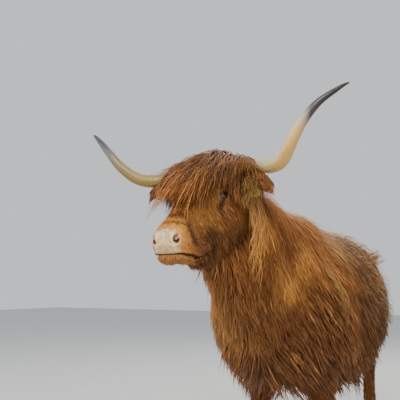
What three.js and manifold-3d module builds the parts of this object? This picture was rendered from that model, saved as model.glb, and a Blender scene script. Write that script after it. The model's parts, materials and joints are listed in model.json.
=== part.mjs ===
// A Highland cow, standing, as a life-size still model.
// Millimetres, +Z up. +Y runs from head to tail, +X is the cow's left, and the floor is z = 0.
// Each sub-part is a loft: rings of a rounded section set along a path. The solids reach the tips of
// the coat, and each one is cut by its neighbours with a thin gap, so that they meet and never overlap.
import * as THREE from 'three';
import { mergeVertices } from 'three/addons/utils/BufferGeometryUtils.js';
import Module from 'manifold-3d';

const wasm = await Module();
wasm.setup();

// ---------------------------------------------------------------- driving dimensions
const GAP = 0.4; // clear space between two solids that meet

// The head's own frame: origin at the poll, x towards the muzzle, y to the cow's left, z out of the brow.
const HEAD = { poll: [-65, -613, 1282], pitch: 33.8, turn: -5.4, roll: 0.6 };

const EYE = { at: [168, 94, -52], radius: 20 };
const NOSTRIL = { at: [428, 46, -74], reach: 24, width: 9, height: 11, splay: 32 };
const HORN_BASE = 27; // radius where the horn leaves the skull
const EAR_POSE = { left: { lift: 0, reach: 1 }, right: { lift: 26, reach: 1.25 } }; // degrees, and length
const TAG = { at: [84, 168, -64], width: 46, height: 52, thick: 2.4, stem: 4, button: 13, cap: 4 };
const EAR_THROUGH = 100; // length of the tag's stem, through the ear and its hair
const CLAW = { width: 50, length: 112, height: 68, apart: 58, ahead: 14 };
const DEWCLAW = { radius: 14, length: 34, apart: 52, height: 118, behind: 62 };

// The feet: middle of each foot on the floor, to the side of and behind the withers, and its stride.
const FRONT_FOOT = { side: 152, back: 0 };
const HIND_FOOT = { side: 152, back: 905 };
const STRIDE = { fl: -45, fr: 50, hl: 50, hr: -55 };
const STRIDE_TOP = 640; // a stride moves nothing above this height

// ---------------------------------------------------------------- sections
// A section is [x, y, z, side, up, down, square]: the ring's middle, its half width, its reach up and
// down (forwards and backwards on a leg), and how square it is: 2 is an ellipse, more is boxier.
const TRUNK = [
  [0, 1086, 870, 96, 110, 120, 2.0],
  [0, 1062, 840, 168, 206, 200, 2.1],
  [0, 1010, 795, 220, 294, 265, 2.15],
  [0, 905, 760, 268, 362, 270, 2.15],
  [0, 760, 725, 308, 410, 250, 2.1],
  [0, 584, 700, 334, 428, 285, 2.05],
  [0, 408, 690, 346, 430, 307, 2.05],
  [0, 233, 695, 338, 430, 318, 2.05],
  [0, 78, 715, 316, 428, 327, 2.05],
  [-2, -68, 735, 294, 404, 330, 2.05],
  [-8, -200, 745, 272, 345, 310, 2.1],
  [-14, -305, 740, 226, 262, 256, 2.1],
  [-14, -360, 730, 134, 152, 160, 2.0],
];

const NECK = [
  [0, 40, 830, 200, 300, 250, 2.0],
  [-4, -90, 880, 208, 288, 300, 2.0],
  [-12, -210, 935, 196, 256, 335, 2.0],
  [-24, -320, 992, 178, 226, 330, 2.0],
  [-38, -420, 1050, 158, 202, 290, 2.0],
  [-52, -510, 1108, 140, 180, 232, 2.0],
  [-62, -575, 1156, 120, 140, 160, 2.0],
];

// In the head's frame: the cranium, face, muzzle and jaw as one form, from nape to lips.
const SKULL = [
  [-60, 0, -120, 80, 80, 80, 2.0],
  [-30, 0, -118, 106, 112, 118, 2.1],
  [30, 0, -122, 118, 130, 140, 2.25],
  [95, 0, -122, 121, 134, 142, 2.3],
  [150, 0, -120, 114, 128, 132, 2.35],
  [205, 0, -116, 97, 114, 116, 2.4],
  [265, 0, -112, 78, 96, 98, 2.4],
  [320, 0, -110, 67, 84, 82, 2.4],
  [368, 0, -111, 67, 78, 70, 2.5],
  [406, 0, -112, 70, 69, 62, 2.6],
  [430, 0, -114, 64, 56, 52, 2.6],
  [441, 0, -116, 44, 34, 34, 2.4],
];

// The long hair that falls from the poll over the brow, in the head's frame.
const FORELOCK = [
  [-62, -8, -58, 94, 66, 90, 2.1],
  [-38, -14, -52, 136, 98, 96, 2.3],
  [20, -19, -48, 158, 112, 90, 2.8],
  [90, -20, -50, 164, 107, 92, 2.8],
  [160, -18, -58, 156, 94, 92, 2.4],
  [215, -14, -64, 134, 80, 82, 2.2],
  [258, -10, -68, 102, 64, 60, 2.1],
  [285, -8, -72, 62, 46, 36, 2.0],
];

// The mouth line in the head's frame, as [x, z], from the lips back to the angle of the jaw.
const MOUTH = [
  [460, -126], [430, -128], [392, -136], [352, -149], [292, -172], [180, -198], [40, -212], [-90, -216],
];

// A horn in the head's frame: [x, y, z, radius], left side; it goes out, forwards and up, then back.
const HORN_LEFT = [
  [-4, 60, 4, HORN_BASE],
  [0, 100, -12, HORN_BASE],
  [4, 170, -18, 25.5],
  [36, 240, -18, 25.5],
  [72, 304, 10, 23.5],
  [88, 357, 64, 20],
  [78, 420, 122, 15.5],
  [42, 478, 168, 10.5],
  [-6, 530, 192, 6],
  [-30, 553, 200, 2.6],
];
const HORN_RIGHT = [
  [-4, 60, 6, HORN_BASE],
  [0, 100, -4, HORN_BASE],
  [14, 172, -12, 26],
  [50, 240, -12, 25.5],
  [88, 300, 20, 23.5],
  [96, 356, 76, 20],
  [78, 416, 134, 15.5],
  [38, 476, 174, 10.5],
  [-12, 530, 195, 6],
  [-36, 553, 201, 2.6],
];

// An ear with its fringe, in the head's frame: out sideways, back a little and drooping.
const EAR = [
  [4, 92, -60, 24, 20, 20, 2.0],
  [18, 124, -58, 36, 25, 34, 2.0],
  [32, 158, -62, 44, 26, 48, 2.0],
  [44, 188, -76, 42, 25, 56, 2.0],
  [52, 206, -98, 31, 20, 48, 2.0],
  [56, 215, -122, 15, 12, 26, 2.0],
];

const FRONT_LEG = [
  [190, -8, 985, 48, 95, 95, 2.0],
  [208, -55, 860, 86, 150, 150, 2.1],
  [206, -72, 740, 100, 165, 155, 2.2],
  [194, -52, 640, 104, 142, 138, 2.2],
  [176, -16, 545, 94, 108, 112, 2.1],
  [160, 0, 440, 74, 80, 82, 2.1],
  [154, 0, 350, 58, 58, 58, 2.1],
  [152, -4, 300, 57, 60, 52, 2.2],
  [152, 4, 225, 47, 46, 49, 2.1],
  [152, 8, 150, 48, 47, 56, 2.1],
  [152, 4, 104, 56, 53, 63, 2.1],
  [152, -10, 62, 59, 60, 56, 2.1],
  [152, -14, 46, 54, 54, 46, 2.1],
];

const HIND_LEG = [
  [150, 824, 1000, 56, 120, 116, 2.0],
  [172, 856, 880, 88, 176, 168, 2.1],
  [184, 856, 750, 98, 194, 184, 2.2],
  [182, 852, 640, 96, 170, 164, 2.2],
  [168, 888, 545, 77, 116, 110, 2.1],
  [157, 940, 470, 60, 76, 74, 2.1],
  [152, 958, 410, 54, 62, 61, 2.2],
  [151, 950, 330, 47, 50, 50, 2.1],
  [151, 934, 230, 46, 47, 51, 2.1],
  [152, 920, 150, 48, 48, 56, 2.1],
  [152, 911, 104, 56, 54, 61, 2.1],
  [152, 896, 62, 59, 60, 56, 2.1],
  [152, 892, 46, 54, 54, 46, 2.1],
];

// The tail: the dock, then the switch of long hair that hangs below the hocks.
const TAIL = [
  [0, 1020, 1052, 40, 32, 32, 2.0],
  [0, 1088, 1052, 46, 38, 38, 2.0],
  [0, 1136, 1016, 45, 38, 38, 2.0],
  [0, 1158, 950, 41, 35, 35, 2.0],
  [4, 1166, 860, 39, 34, 34, 2.0],
  [8, 1170, 740, 41, 36, 36, 2.0],
  [12, 1170, 640, 46, 40, 40, 2.0],
];
const SWITCH = [
  [12, 1170, 636, 46, 40, 40, 2.0],
  [14, 1170, 560, 58, 50, 50, 2.0],
  [16, 1169, 450, 66, 56, 56, 2.0],
  [18, 1167, 340, 60, 50, 50, 2.0],
  [20, 1165, 260, 40, 34, 34, 2.0],
  [21, 1164, 215, 16, 14, 14, 2.0],
];

const UDDER = [
  [0, 700, 520, 60, 50, 40, 2.0],
  [0, 740, 505, 108, 90, 62, 2.1],
  [0, 800, 500, 122, 100, 78, 2.2],
  [0, 855, 510, 96, 90, 70, 2.1],
  [0, 885, 530, 50, 50, 44, 2.0],
];
const TEAT = { side: 48, front: 752, back: 828, top: 470, bottom: 402, radius: 11 };

// ---------------------------------------------------------------- colours and materials
const finish = (name, color, roughness) => new THREE.MeshStandardMaterial({ name, color, roughness, metalness: 0 });
const COAT = finish('coat', 0xa5662f, 0.85);
const DARK_COAT = finish('dark_coat', 0x7a4522, 0.85);
const HORN_KERATIN = finish('horn', 0xcdbb8e, 0.45);
const HOOF = finish('hoof', 0x3b3028, 0.55);
const EYE_WET = finish('eye', 0x1b120d, 0.08);
const UDDER_SKIN = finish('udder_skin', 0xc79a84, 0.6);
const TAG_PLASTIC = finish('tag_plastic', 0xd3c21f, 0.4);

// ---------------------------------------------------------------- shaping functions
const KEYS = 7;

// The sections read at `count` even steps, with a Catmull-Rom curve through them.
function steps(sections, count) {
  const last = sections.length - 1;
  const get = (i) => sections[Math.min(Math.max(i, 0), last)];
  return Array.from({ length: count }, (_, k) => {
    const t = (k / (count - 1)) * last;
    const i = Math.min(Math.floor(t), last - 1);
    const u = t - i;
    return Array.from({ length: KEYS }, (_, n) => {
      const [a, b, c, d] = [get(i - 1)[n], get(i)[n], get(i + 1)[n], get(i + 2)[n]];
      return 0.5 * (2 * b + (c - a) * u + (2 * a - 5 * b + 4 * c - d) * u * u + (3 * b - a - 3 * c + d) * u ** 3);
    });
  });
}

// A closed skin over rings of points, with a pole at each end.
function closedSkin(rings, firstPole, lastPole) {
  const sides = rings[0].length;
  const points = [...rings.flat(), firstPole, lastPole];
  const first = rings.length * sides;
  const index = [];
  for (let j = 0; j < sides; j++) {
    const k = (j + 1) % sides;
    for (let i = 0; i < rings.length - 1; i++) {
      const [a, b] = [i * sides, (i + 1) * sides];
      index.push(a + j, a + k, b + k, a + j, b + k, b + j);
    }
    const end = (rings.length - 1) * sides;
    index.push(first, k, j, first + 1, end + j, end + k);
  }
  return new THREE.BufferGeometry().setFromPoints(points).setIndex(index);
}

// A loft through the sections. `across` is the direction of the half width, and `grow` thickens it all
// round. The reach up points along `top` on every ring of a level loft; on any other loft the rings
// stand square to the path, and `top` only says which way the first one is up. The ends are domes as
// deep as `dome` times the smallest reach of the end ring.
function loft(sections, { count, sides, across = [1, 0, 0], top = [0, 0, 1], level, grow = 0, dome = 0.25 }) {
  const rows = steps(sections, count);
  const side = new THREE.Vector3(...across).normalize();
  const middle = rows.map(([x, y, z]) => new THREE.Vector3(x, y, z));
  const along = middle.map((_, i) =>
    middle[Math.min(i + 1, count - 1)].clone().sub(middle[Math.max(i - 1, 0)]).normalize());
  let before = new THREE.Vector3(...top);
  const rings = rows.map(([, , , half, up, down, square], i) => {
    const out = level ? before : side.clone().cross(along[i]).normalize();
    if (out.dot(before) < 0) out.negate();
    before = out;
    return Array.from({ length: sides }, (_, j) => {
      const angle = (2 * Math.PI * j) / sides;
      const bend = (v) => Math.sign(v) * Math.abs(v) ** (2 / square);
      const [c, s] = [bend(Math.cos(angle)), bend(Math.sin(angle))];
      return middle[i].clone()
        .addScaledVector(side, c * (half + grow))
        .addScaledVector(out, s * ((s > 0 ? up : down) + grow));
    });
  });
  const reach = (row) => dome * Math.min(row[3], row[4], row[5]) + grow;
  const firstPole = middle[0].clone().addScaledVector(along[0], -reach(rows[0]));
  const lastPole = middle[count - 1].clone().addScaledVector(along[count - 1], reach(rows[count - 1]));
  return outward(closedSkin(rings, firstPole, lastPole));
}

// A round tube along points [x, y, z, radius].
function tube(points, { count, sides, grow = 0, across = [1, 0, 0] }) {
  const rows = points.map(([x, y, z, r]) => [x, y, z, r, r, r, 2]);
  return loft(rows, { count, sides, grow, across, dome: 0.6 });
}

// Turns the faces round if they point inwards.
function outward(geometry) {
  const p = geometry.attributes.position;
  const index = geometry.index.array;
  const [a, b, c] = [new THREE.Vector3(), new THREE.Vector3(), new THREE.Vector3()];
  let volume = 0;
  for (let i = 0; i < index.length; i += 3) {
    a.fromBufferAttribute(p, index[i]);
    b.fromBufferAttribute(p, index[i + 1]);
    c.fromBufferAttribute(p, index[i + 2]);
    volume += a.dot(b.cross(c));
  }
  if (volume < 0) geometry.setIndex(Array.from(index).reverse());
  return geometry;
}

// A geometry as a solid that can be joined and cut, and back.
function solid(geometry) {
  const g = geometry.clone();
  for (const name of Object.keys(g.attributes)) if (name !== 'position') g.deleteAttribute(name);
  const merged = mergeVertices(g, 1e-4);
  return new wasm.Manifold(new wasm.Mesh({
    numProp: 3,
    vertProperties: new Float32Array(merged.attributes.position.array),
    triVerts: new Uint32Array(merged.index.array),
  }));
}
function geometryOf(body) {
  const mesh = body.getMesh();
  return new THREE.BufferGeometry()
    .setAttribute('position', new THREE.BufferAttribute(new Float32Array(mesh.vertProperties), 3))
    .setIndex(new THREE.BufferAttribute(new Uint32Array(mesh.triVerts), 1));
}
// The largest body of a solid: what a cut leaves as loose slivers is dropped.
function largest(body) {
  return body.decompose().reduce((a, b) => (b.volume() > a.volume() ? b : a));
}
const cut = (body, ...tools) => largest(tools.reduce((left, tool) => left.subtract(tool), body));
const mirrored = (sections) => sections.map(([x, y, z, ...rest]) => [x, -y, z, ...rest]);

// ---------------------------------------------------------------- the head's frame
const radians = THREE.MathUtils.degToRad;
const headMatrix = (() => {
  const [pitch, turn, roll] = [radians(HEAD.pitch), radians(HEAD.turn), radians(HEAD.roll)];
  const forward = new THREE.Vector3(
    Math.sin(turn) * Math.cos(pitch), -Math.cos(turn) * Math.cos(pitch), -Math.sin(pitch));
  const left = new THREE.Vector3(Math.cos(turn), Math.sin(turn), 0).applyAxisAngle(forward, roll);
  const brow = forward.clone().cross(left);
  return new THREE.Matrix4().makeBasis(forward, left, brow).setPosition(...HEAD.poll);
})();
const onHead = (geometry) => solid(geometry.applyMatrix4(headMatrix));
const HEAD_SIDE = [0, 1, 0];
const FORWARD = [0, -1, 0];
const NECK_UP = [0, 0.47, 0.883]; // square to the slope of the neck

// ---------------------------------------------------------------- sub-parts of the head
function skull(grow = 0) {
  return onHead(loft(SKULL, { count: 16, sides: 18, across: HEAD_SIDE, level: true, grow, dome: 0.3 }));
}
function eyeball(side, grow = 0) {
  const [x, y, z] = EYE.at;
  return onHead(new THREE.SphereGeometry(EYE.radius + grow, 10, 8).translate(x, side * y, z));
}
function nostril(side) {
  const [x, y, z] = NOSTRIL.at;
  const hollow = new THREE.SphereGeometry(1, 8, 6).scale(NOSTRIL.reach, NOSTRIL.width, NOSTRIL.height)
    .rotateZ(side * radians(NOSTRIL.splay)).translate(x, side * y, z);
  return onHead(hollow);
}
// The block under the mouth line, deeper and wider than the head.
const BELOW = 400;
function belowMouth(drop) {
  const outline = new THREE.Shape(MOUTH.map(([x, z]) => new THREE.Vector2(x, z - drop)));
  outline.lineTo(MOUTH.at(-1)[0], -BELOW);
  outline.lineTo(MOUTH[0][0], -BELOW);
  const block = new THREE.ExtrudeGeometry(outline, { depth: BELOW, bevelEnabled: false })
    .translate(0, 0, -BELOW / 2).rotateX(Math.PI / 2);
  return onHead(block);
}
function horn(side, grow = 0) {
  const points = side > 0 ? HORN_LEFT : mirrored(HORN_RIGHT);
  return onHead(tube(points, { count: 19, sides: 9, grow }));
}
function ear(side, grow = 0) {
  const { lift, reach } = side > 0 ? EAR_POSE.left : EAR_POSE.right;
  const root = EAR[0];
  const [c, s] = [Math.cos(radians(lift)), Math.sin(radians(lift))];
  const sections = EAR.map(([x, y, z, ...rest]) => {
    const [forward, out, up] = [x - root[0], y - root[1], z - root[2]].map((v) => v * reach);
    return [root[0] + forward, side * (root[1] + out * c - up * s), root[2] + out * s + up * c, ...rest];
  });
  return onHead(loft(sections, { count: 8, sides: 10, grow, dome: 0.4 }));
}
function forelock() {
  return onHead(loft(FORELOCK, { count: 8, sides: 14, across: HEAD_SIDE, level: true }));
}
// The tag: a plate in front of the ear's leaf, a stem through it, and a round button behind.
function earTag(grow = 0) {
  const [x, y, z] = TAG.at;
  const plate = new THREE.BoxGeometry(TAG.thick + 2 * grow, TAG.width + 2 * grow, TAG.height + 2 * grow)
    .translate(x, y, z - TAG.height * 0.3);
  const stem = new THREE.CylinderGeometry(TAG.stem + grow, TAG.stem + grow, EAR_THROUGH, 10)
    .rotateZ(Math.PI / 2).translate(x - EAR_THROUGH / 2, y, z);
  const button = new THREE.CylinderGeometry(TAG.button + grow, TAG.button + grow, TAG.cap + 2 * grow, 16)
    .rotateZ(Math.PI / 2).translate(x - EAR_THROUGH, y, z);
  return onHead(plate).add(onHead(stem)).add(onHead(button));
}

// ---------------------------------------------------------------- sub-parts of the body
function trunk(grow = 0) {
  return solid(loft(TRUNK, { count: 19, sides: 18, level: true, grow }));
}
function neck(grow = 0) {
  return solid(loft(NECK, { count: 8, sides: 15, top: NECK_UP, level: true, grow }));
}
function leg(sections, side, stride, grow = 0) {
  const placed = sections.map(([x, y, z, ...rest]) =>
    [side * x, y + stride * Math.max(0, 1 - z / STRIDE_TOP), z, ...rest]);
  return solid(loft(placed, { count: 13, sides: 9, top: FORWARD, level: true, grow, dome: 0.1 }));
}
// One claw of a cloven hoof: a wedge with a flat sole and a blunt toe that points forwards.
function claw(x, y, grow = 0) {
  const { width, length, height } = CLAW;
  const rows = [
    [x, y, 0, width / 2, length * 0.52, length * 0.4, 2.3],
    [x, y, height * 0.25, width / 2, length * 0.49, length * 0.4, 2.3],
    [x, y, height * 0.6, width * 0.46, length * 0.4, length * 0.37, 2.3],
    [x, y, height, width * 0.4, length * 0.28, length * 0.32, 2.2],
  ];
  return solid(loft(rows, { count: 4, sides: 10, top: FORWARD, level: true, grow, dome: 0 }));
}
function dewclaw(x, y, grow = 0) {
  const { radius, length, height } = DEWCLAW;
  const rows = [
    [x, y - length / 2, height + 10, radius * 0.9, radius * 0.9, radius * 0.9, 2],
    [x, y, height, radius, radius, radius, 2],
    [x, y + length / 2, height - 16, radius * 0.5, radius * 0.5, radius * 0.5, 2],
  ];
  return solid(loft(rows, { count: 3, sides: 6, grow, dome: 0.5 }));
}
function udder() {
  const bag = solid(loft(UDDER, { count: 7, sides: 12 }));
  const teats = [-1, 1].flatMap((side) => [TEAT.front, TEAT.back].map((back) => solid(loft([
    [side * TEAT.side, back, TEAT.top, TEAT.radius, TEAT.radius, TEAT.radius, 2],
    [side * TEAT.side, back, TEAT.bottom, TEAT.radius * 0.8, TEAT.radius * 0.8, TEAT.radius * 0.8, 2],
  ], { count: 2, sides: 6, dome: 0.5 }))));
  return teats.reduce((body, teat) => body.add(teat), bag);
}
function tail(sections, count, grow = 0) {
  return solid(loft(sections, { count, sides: 9, grow, dome: 0 }));
}

// ---------------------------------------------------------------- assembly
const parts = new THREE.Group();
function place(name, body, material) {
  const mesh = new THREE.Mesh(geometryOf(body), material);
  mesh.name = name;
  parts.add(mesh);
}

// The head: one form, with sockets for the eyes, parted along the mouth line.
const eyes = [-1, 1].map((side) => eyeball(side, GAP));
const wholeHead = cut(skull(), ...eyes, nostril(-1), nostril(1));
place('head', cut(wholeHead, belowMouth(0)), COAT);
place('jaw', largest(wholeHead.intersect(belowMouth(GAP))), COAT);
place('eye_left', eyeball(1), EYE_WET);
place('eye_right', eyeball(-1), EYE_WET);
place('horn_left', cut(horn(1), skull(GAP)), HORN_KERATIN);
place('horn_right', cut(horn(-1), skull(GAP)), HORN_KERATIN);
place('ear_tag', earTag(), TAG_PLASTIC);
const hornsGrown = [horn(-1, GAP), horn(1, GAP)];
place('ear_left', cut(ear(1), skull(GAP), earTag(GAP), ...hornsGrown), COAT);
place('ear_right', cut(ear(-1), skull(GAP), ...hornsGrown), COAT);

// The body.
place('trunk', trunk(), COAT);
place('neck', cut(neck(), trunk(GAP), skull(GAP), ear(1, GAP), ear(-1, GAP), ...hornsGrown), COAT);
place('forelock',
  cut(forelock(), skull(GAP), neck(GAP), ear(1, GAP), ear(-1, GAP), earTag(GAP), ...hornsGrown, ...eyes),
  DARK_COAT);

// The legs, each with two claws and two dewclaws.
const LEGS = [
  ['fl', FRONT_LEG, FRONT_FOOT, 1],
  ['fr', FRONT_LEG, FRONT_FOOT, -1],
  ['hl', HIND_LEG, HIND_FOOT, 1],
  ['hr', HIND_LEG, HIND_FOOT, -1],
];
const legsGrown = [];
for (const [name, sections, foot, side] of LEGS) {
  const stride = STRIDE[name];
  const hooves = [];
  for (const [which, sign] of [['inner', -1], ['outer', 1]]) {
    const x = side * (foot.side + (sign * CLAW.apart) / 2);
    const y = foot.back - CLAW.ahead + stride;
    place(`claw_${name}_${which}`, claw(x, y), HOOF);
    hooves.push(claw(x, y, GAP));
    const dewX = side * (foot.side + (sign * DEWCLAW.apart) / 2);
    const dewY = foot.back + DEWCLAW.behind + stride * (1 - DEWCLAW.height / STRIDE_TOP);
    place(`dewclaw_${name}_${which}`, dewclaw(dewX, dewY), HOOF);
    hooves.push(dewclaw(dewX, dewY, GAP));
  }
  place(`leg_${name}`, cut(leg(sections, side, stride), trunk(GAP), neck(GAP), ...hooves), COAT);
  legsGrown.push(leg(sections, side, stride, GAP));
}
place('tail', cut(tail(TAIL, 8), trunk(GAP), ...legsGrown), COAT);
place('tail_switch', cut(tail(SWITCH, 7), trunk(GAP), ...legsGrown), DARK_COAT);
place('udder', cut(udder(), trunk(GAP), ...legsGrown), UDDER_SKIN);

// The origin is on the floor, under the middle of the model's box.
const box = new THREE.Box3().setFromObject(parts);
const middle = box.getCenter(new THREE.Vector3());
parts.position.set(-middle.x, -middle.y, -box.min.z);

const cow = new THREE.Group();
cow.add(parts);

export default cow;
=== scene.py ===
"""A Highland cow, standing: one skin with a coat of hair locks, horns, eyes, hooves and an ear tag.

The body is one signed distance in space: rounded sections carried along straight axes, blended where
they meet. The skin is the surface where that distance is zero. Every lock of hair grows from the skin,
follows the lie of the coat, is held off by the same distance, and hangs where the body falls away.
"""
import json
import logging
import math
from dataclasses import dataclass, field, fields
from enum import Enum
from itertools import product
from typing import Callable

import bmesh
import bpy
import numpy as np
from bpy.types import Material, Mesh, Node, NodeSocket, NodeTree, Object
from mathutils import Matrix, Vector

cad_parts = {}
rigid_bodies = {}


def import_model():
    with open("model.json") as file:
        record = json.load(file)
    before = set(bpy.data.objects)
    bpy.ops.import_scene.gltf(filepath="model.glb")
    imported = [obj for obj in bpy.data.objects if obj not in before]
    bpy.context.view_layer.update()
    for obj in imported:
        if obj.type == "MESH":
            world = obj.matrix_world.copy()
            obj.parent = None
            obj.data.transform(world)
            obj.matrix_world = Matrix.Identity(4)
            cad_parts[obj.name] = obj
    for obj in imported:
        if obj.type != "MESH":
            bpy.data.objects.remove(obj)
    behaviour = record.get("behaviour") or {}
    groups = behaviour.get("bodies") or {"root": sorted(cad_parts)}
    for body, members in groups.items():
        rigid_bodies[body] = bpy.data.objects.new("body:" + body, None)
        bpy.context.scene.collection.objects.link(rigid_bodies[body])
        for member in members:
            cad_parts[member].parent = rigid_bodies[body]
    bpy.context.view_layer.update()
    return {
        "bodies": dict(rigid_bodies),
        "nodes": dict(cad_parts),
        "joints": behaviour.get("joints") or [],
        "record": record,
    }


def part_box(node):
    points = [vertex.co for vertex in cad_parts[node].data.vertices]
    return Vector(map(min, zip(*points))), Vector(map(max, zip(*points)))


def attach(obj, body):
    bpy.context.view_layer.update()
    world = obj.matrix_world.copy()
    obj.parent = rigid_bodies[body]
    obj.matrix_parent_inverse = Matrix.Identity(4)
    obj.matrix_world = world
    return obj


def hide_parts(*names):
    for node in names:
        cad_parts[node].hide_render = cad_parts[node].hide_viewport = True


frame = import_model()

logging.basicConfig(level=logging.INFO, format="%(message)s")
log = logging.getLogger("cow")

Array = np.ndarray
# What a rule takes is one row for each place; what it gives is a number, a truth or a direction for each.
Rule = Callable[[Array], Array]
# What goes into a shader node: a constant, or another node's output.
Value = float | NodeSocket
MM = 0.001


# ---- places and sections
@dataclass(frozen=True)
class Place:
    """A rigid frame: its origin, and its three unit axes as the rows of a matrix."""

    origin: Array
    axes: Array

    def local(self, points: Array) -> Array:
        """World points in this frame."""
        return (points - self.origin) @ self.axes.T

    def world(self, points: Array) -> Array:
        """Points of this frame in the world."""
        return self.origin + points @ self.axes

    def turn(self, vectors: Array) -> Array:
        """Directions of this frame in the world."""
        return vectors @ self.axes


def unit(vectors: Array) -> Array:
    """Vectors divided by their lengths."""
    return vectors / np.maximum(np.linalg.norm(vectors, axis=-1, keepdims=True), 1e-12)


def columns(*values: float | Array) -> Array:
    """Columns side by side, with single numbers repeated down the rows."""
    return np.stack(np.broadcast_arrays(*values), axis=-1)


def rotated(vector: Array, axis: Array, angle: float) -> Array:
    """A vector turned about a unit axis, by Rodrigues' formula.

    Args:
        vector: what turns.
        axis: the unit axis.
        angle: in radians, right-handed.

    Returns:
        The turned vector.
    """
    c, s = math.cos(angle), math.sin(angle)
    return vector * c + np.cross(axis, vector) * s + axis * np.dot(axis, vector) * (1 - c)


def within(points: Array, low: tuple | Array, high: tuple | Array) -> Array:
    """Which points lie between two corners of a box."""
    return np.all((points > low) & (points < high), axis=1)


def ease(low: float, high: float, x: Array) -> Array:
    """0 below low, 1 above high, and 3t^2 - 2t^3 between."""
    t = np.clip((x - low) / (high - low), 0, 1)
    return t * t * (3 - 2 * t)


def bell(x: Array, middle: float, width: float) -> Array:
    """A smooth hump: exp of minus the square of the distance from the middle over the width."""
    return np.exp(-(((x - middle) / width) ** 2))


def blend(a: Array, b: Array, reach: float) -> Array:
    """The smooth minimum of two distances: they melt together where they differ by less than reach."""
    h = np.clip(0.5 + 0.5 * (b - a) / reach, 0, 1)
    return b + (a - b) * h - reach * h * (1 - h)


def curve(table: Array, count: int) -> Array:
    """The rows of a table read at even steps, on the Catmull-Rom curve through them.

    Args:
        table: one row of numbers for each section.
        count: how many rows to read.

    Returns:
        An array of count rows.
    """
    table = np.asarray(table, float)
    last = len(table) - 1
    t = np.linspace(0, last, count)
    i = np.minimum(t.astype(int), last - 1)
    u = (t - i)[:, None]
    a, b, c, d = (table[np.clip(i + k, 0, last)] for k in (-1, 0, 1, 2))
    return 0.5 * (2 * b + (c - a) * u + (2 * a - 5 * b + 4 * c - d) * u**2 + (3 * b - a - 3 * c + d) * u**3)


STATIONS = 96


@dataclass
class Loft:
    """Rounded sections carried along a straight axis.

    A section is (x, y, z, side, up, down, square) in millimetres: its middle, its half width, its reach
    up and down, and how square it is. The coat's depth, which is taken off all round to give the skin,
    is given at even steps along the loft.
    """

    sections: list
    place: Place
    across: tuple
    top: tuple
    depth: tuple

    def __post_init__(self) -> None:
        """Reads the sections at even stations, sorted along the axis."""
        self.across, self.top = unit(np.array(self.across, float)), unit(np.array(self.top, float))
        self.axis = np.cross(self.across, self.top)
        rows = curve(self.sections, STATIONS)
        middle = rows[:, :3] * MM
        depth = np.interp(np.linspace(0, 1, STATIONS), np.linspace(0, 1, len(self.depth)), self.depth)
        axes = (self.axis, self.across, self.top)
        table = np.column_stack([*(middle @ way for way in axes), rows[:, 3:6] * MM, rows[:, 6], depth])
        if table[0, 0] > table[-1, 0]:
            table = table[::-1]
        self.table = table
        self.start, self.end = table[0, 0], table[-1, 0]

    def read(self, points: Array, coat: float) -> tuple:
        """Where points lie against the sections.

        Args:
            points: world points.
            coat: share of the coat's depth to take off, 1 for the skin and 0 for the tips.

        Returns:
            The offset across, the offset up, the place along the axis, the half width, the reach on
            the point's own side and the squareness, each as an array.
        """
        p = self.place.local(points)
        along = p @ self.axis
        t = self.table
        a, b, side, up, down, square, depth = (np.interp(along, t[:, 0], t[:, k]) for k in range(1, 8))
        x, y = p @ self.across - a, p @ self.top - b
        side = np.maximum(side - coat * depth, 2 * MM)
        reach = np.maximum(np.where(y > 0, up, down) - coat * depth, 2 * MM)
        return x, y, along, side, reach, square

    def distance(self, points: Array, coat: float = 1.0) -> Array:
        """Distance from the loft's surface, below zero inside, measured in the plane of the section.

        With r the section's own radius (1 on its outline), a point at q from the middle lies
        q - q / r outside it. Past the ends the overshoot is added at a right angle.

        Args:
            points: world points.
            coat: share of the coat's depth to take off.

        Returns:
            One distance for each point.
        """
        x, y, along, side, reach, square = self.read(points, coat)
        r = ((np.abs(x) / side) ** square + (np.abs(y) / reach) ** square) ** (1 / square)
        q = np.hypot(x, y)
        flat = np.where(r > 1e-3, q - q / np.maximum(r, 1e-3), -np.minimum(side, reach))
        over = np.abs(along - np.clip(along, self.start, self.end))
        return np.where(over > 0, np.hypot(np.maximum(flat, 0), over), flat)

    def unwrap(self, points: Array) -> Array:
        """The angle round the axis and the place along it, both from 0 to 1, as an (n, 2) array."""
        x, y, along, *_ = self.read(points, 0)
        turn = np.arctan2(x, -y) / (2 * math.pi) + 0.5
        return columns(turn, np.clip((along - self.start) / (self.end - self.start), 0, 1))

    def box(self, margin: float) -> tuple:
        """Lowest and highest corner of the loft's world box, grown by a margin in metres."""
        t = self.table
        middle = t[:, :1] * self.axis + t[:, 1:2] * self.across + t[:, 2:3] * self.top
        reach = np.max(t[:, 3:6], axis=1)[:, None]
        world = self.place.world(middle)
        return (world - reach).min(0) - margin, (world + reach).max(0) + margin


# ---- sizes, in millimetres
# The sizes and sections of the cow's solids, as in the CAD source.
POLL = (-65, -613, 1282)
HEAD_PITCH, HEAD_TURN, HEAD_ROLL = 33.8, -5.4, 0.6
EYE_AT = (168, 94, -52)
NECK_UP = (0, 0.47, 0.883)

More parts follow.
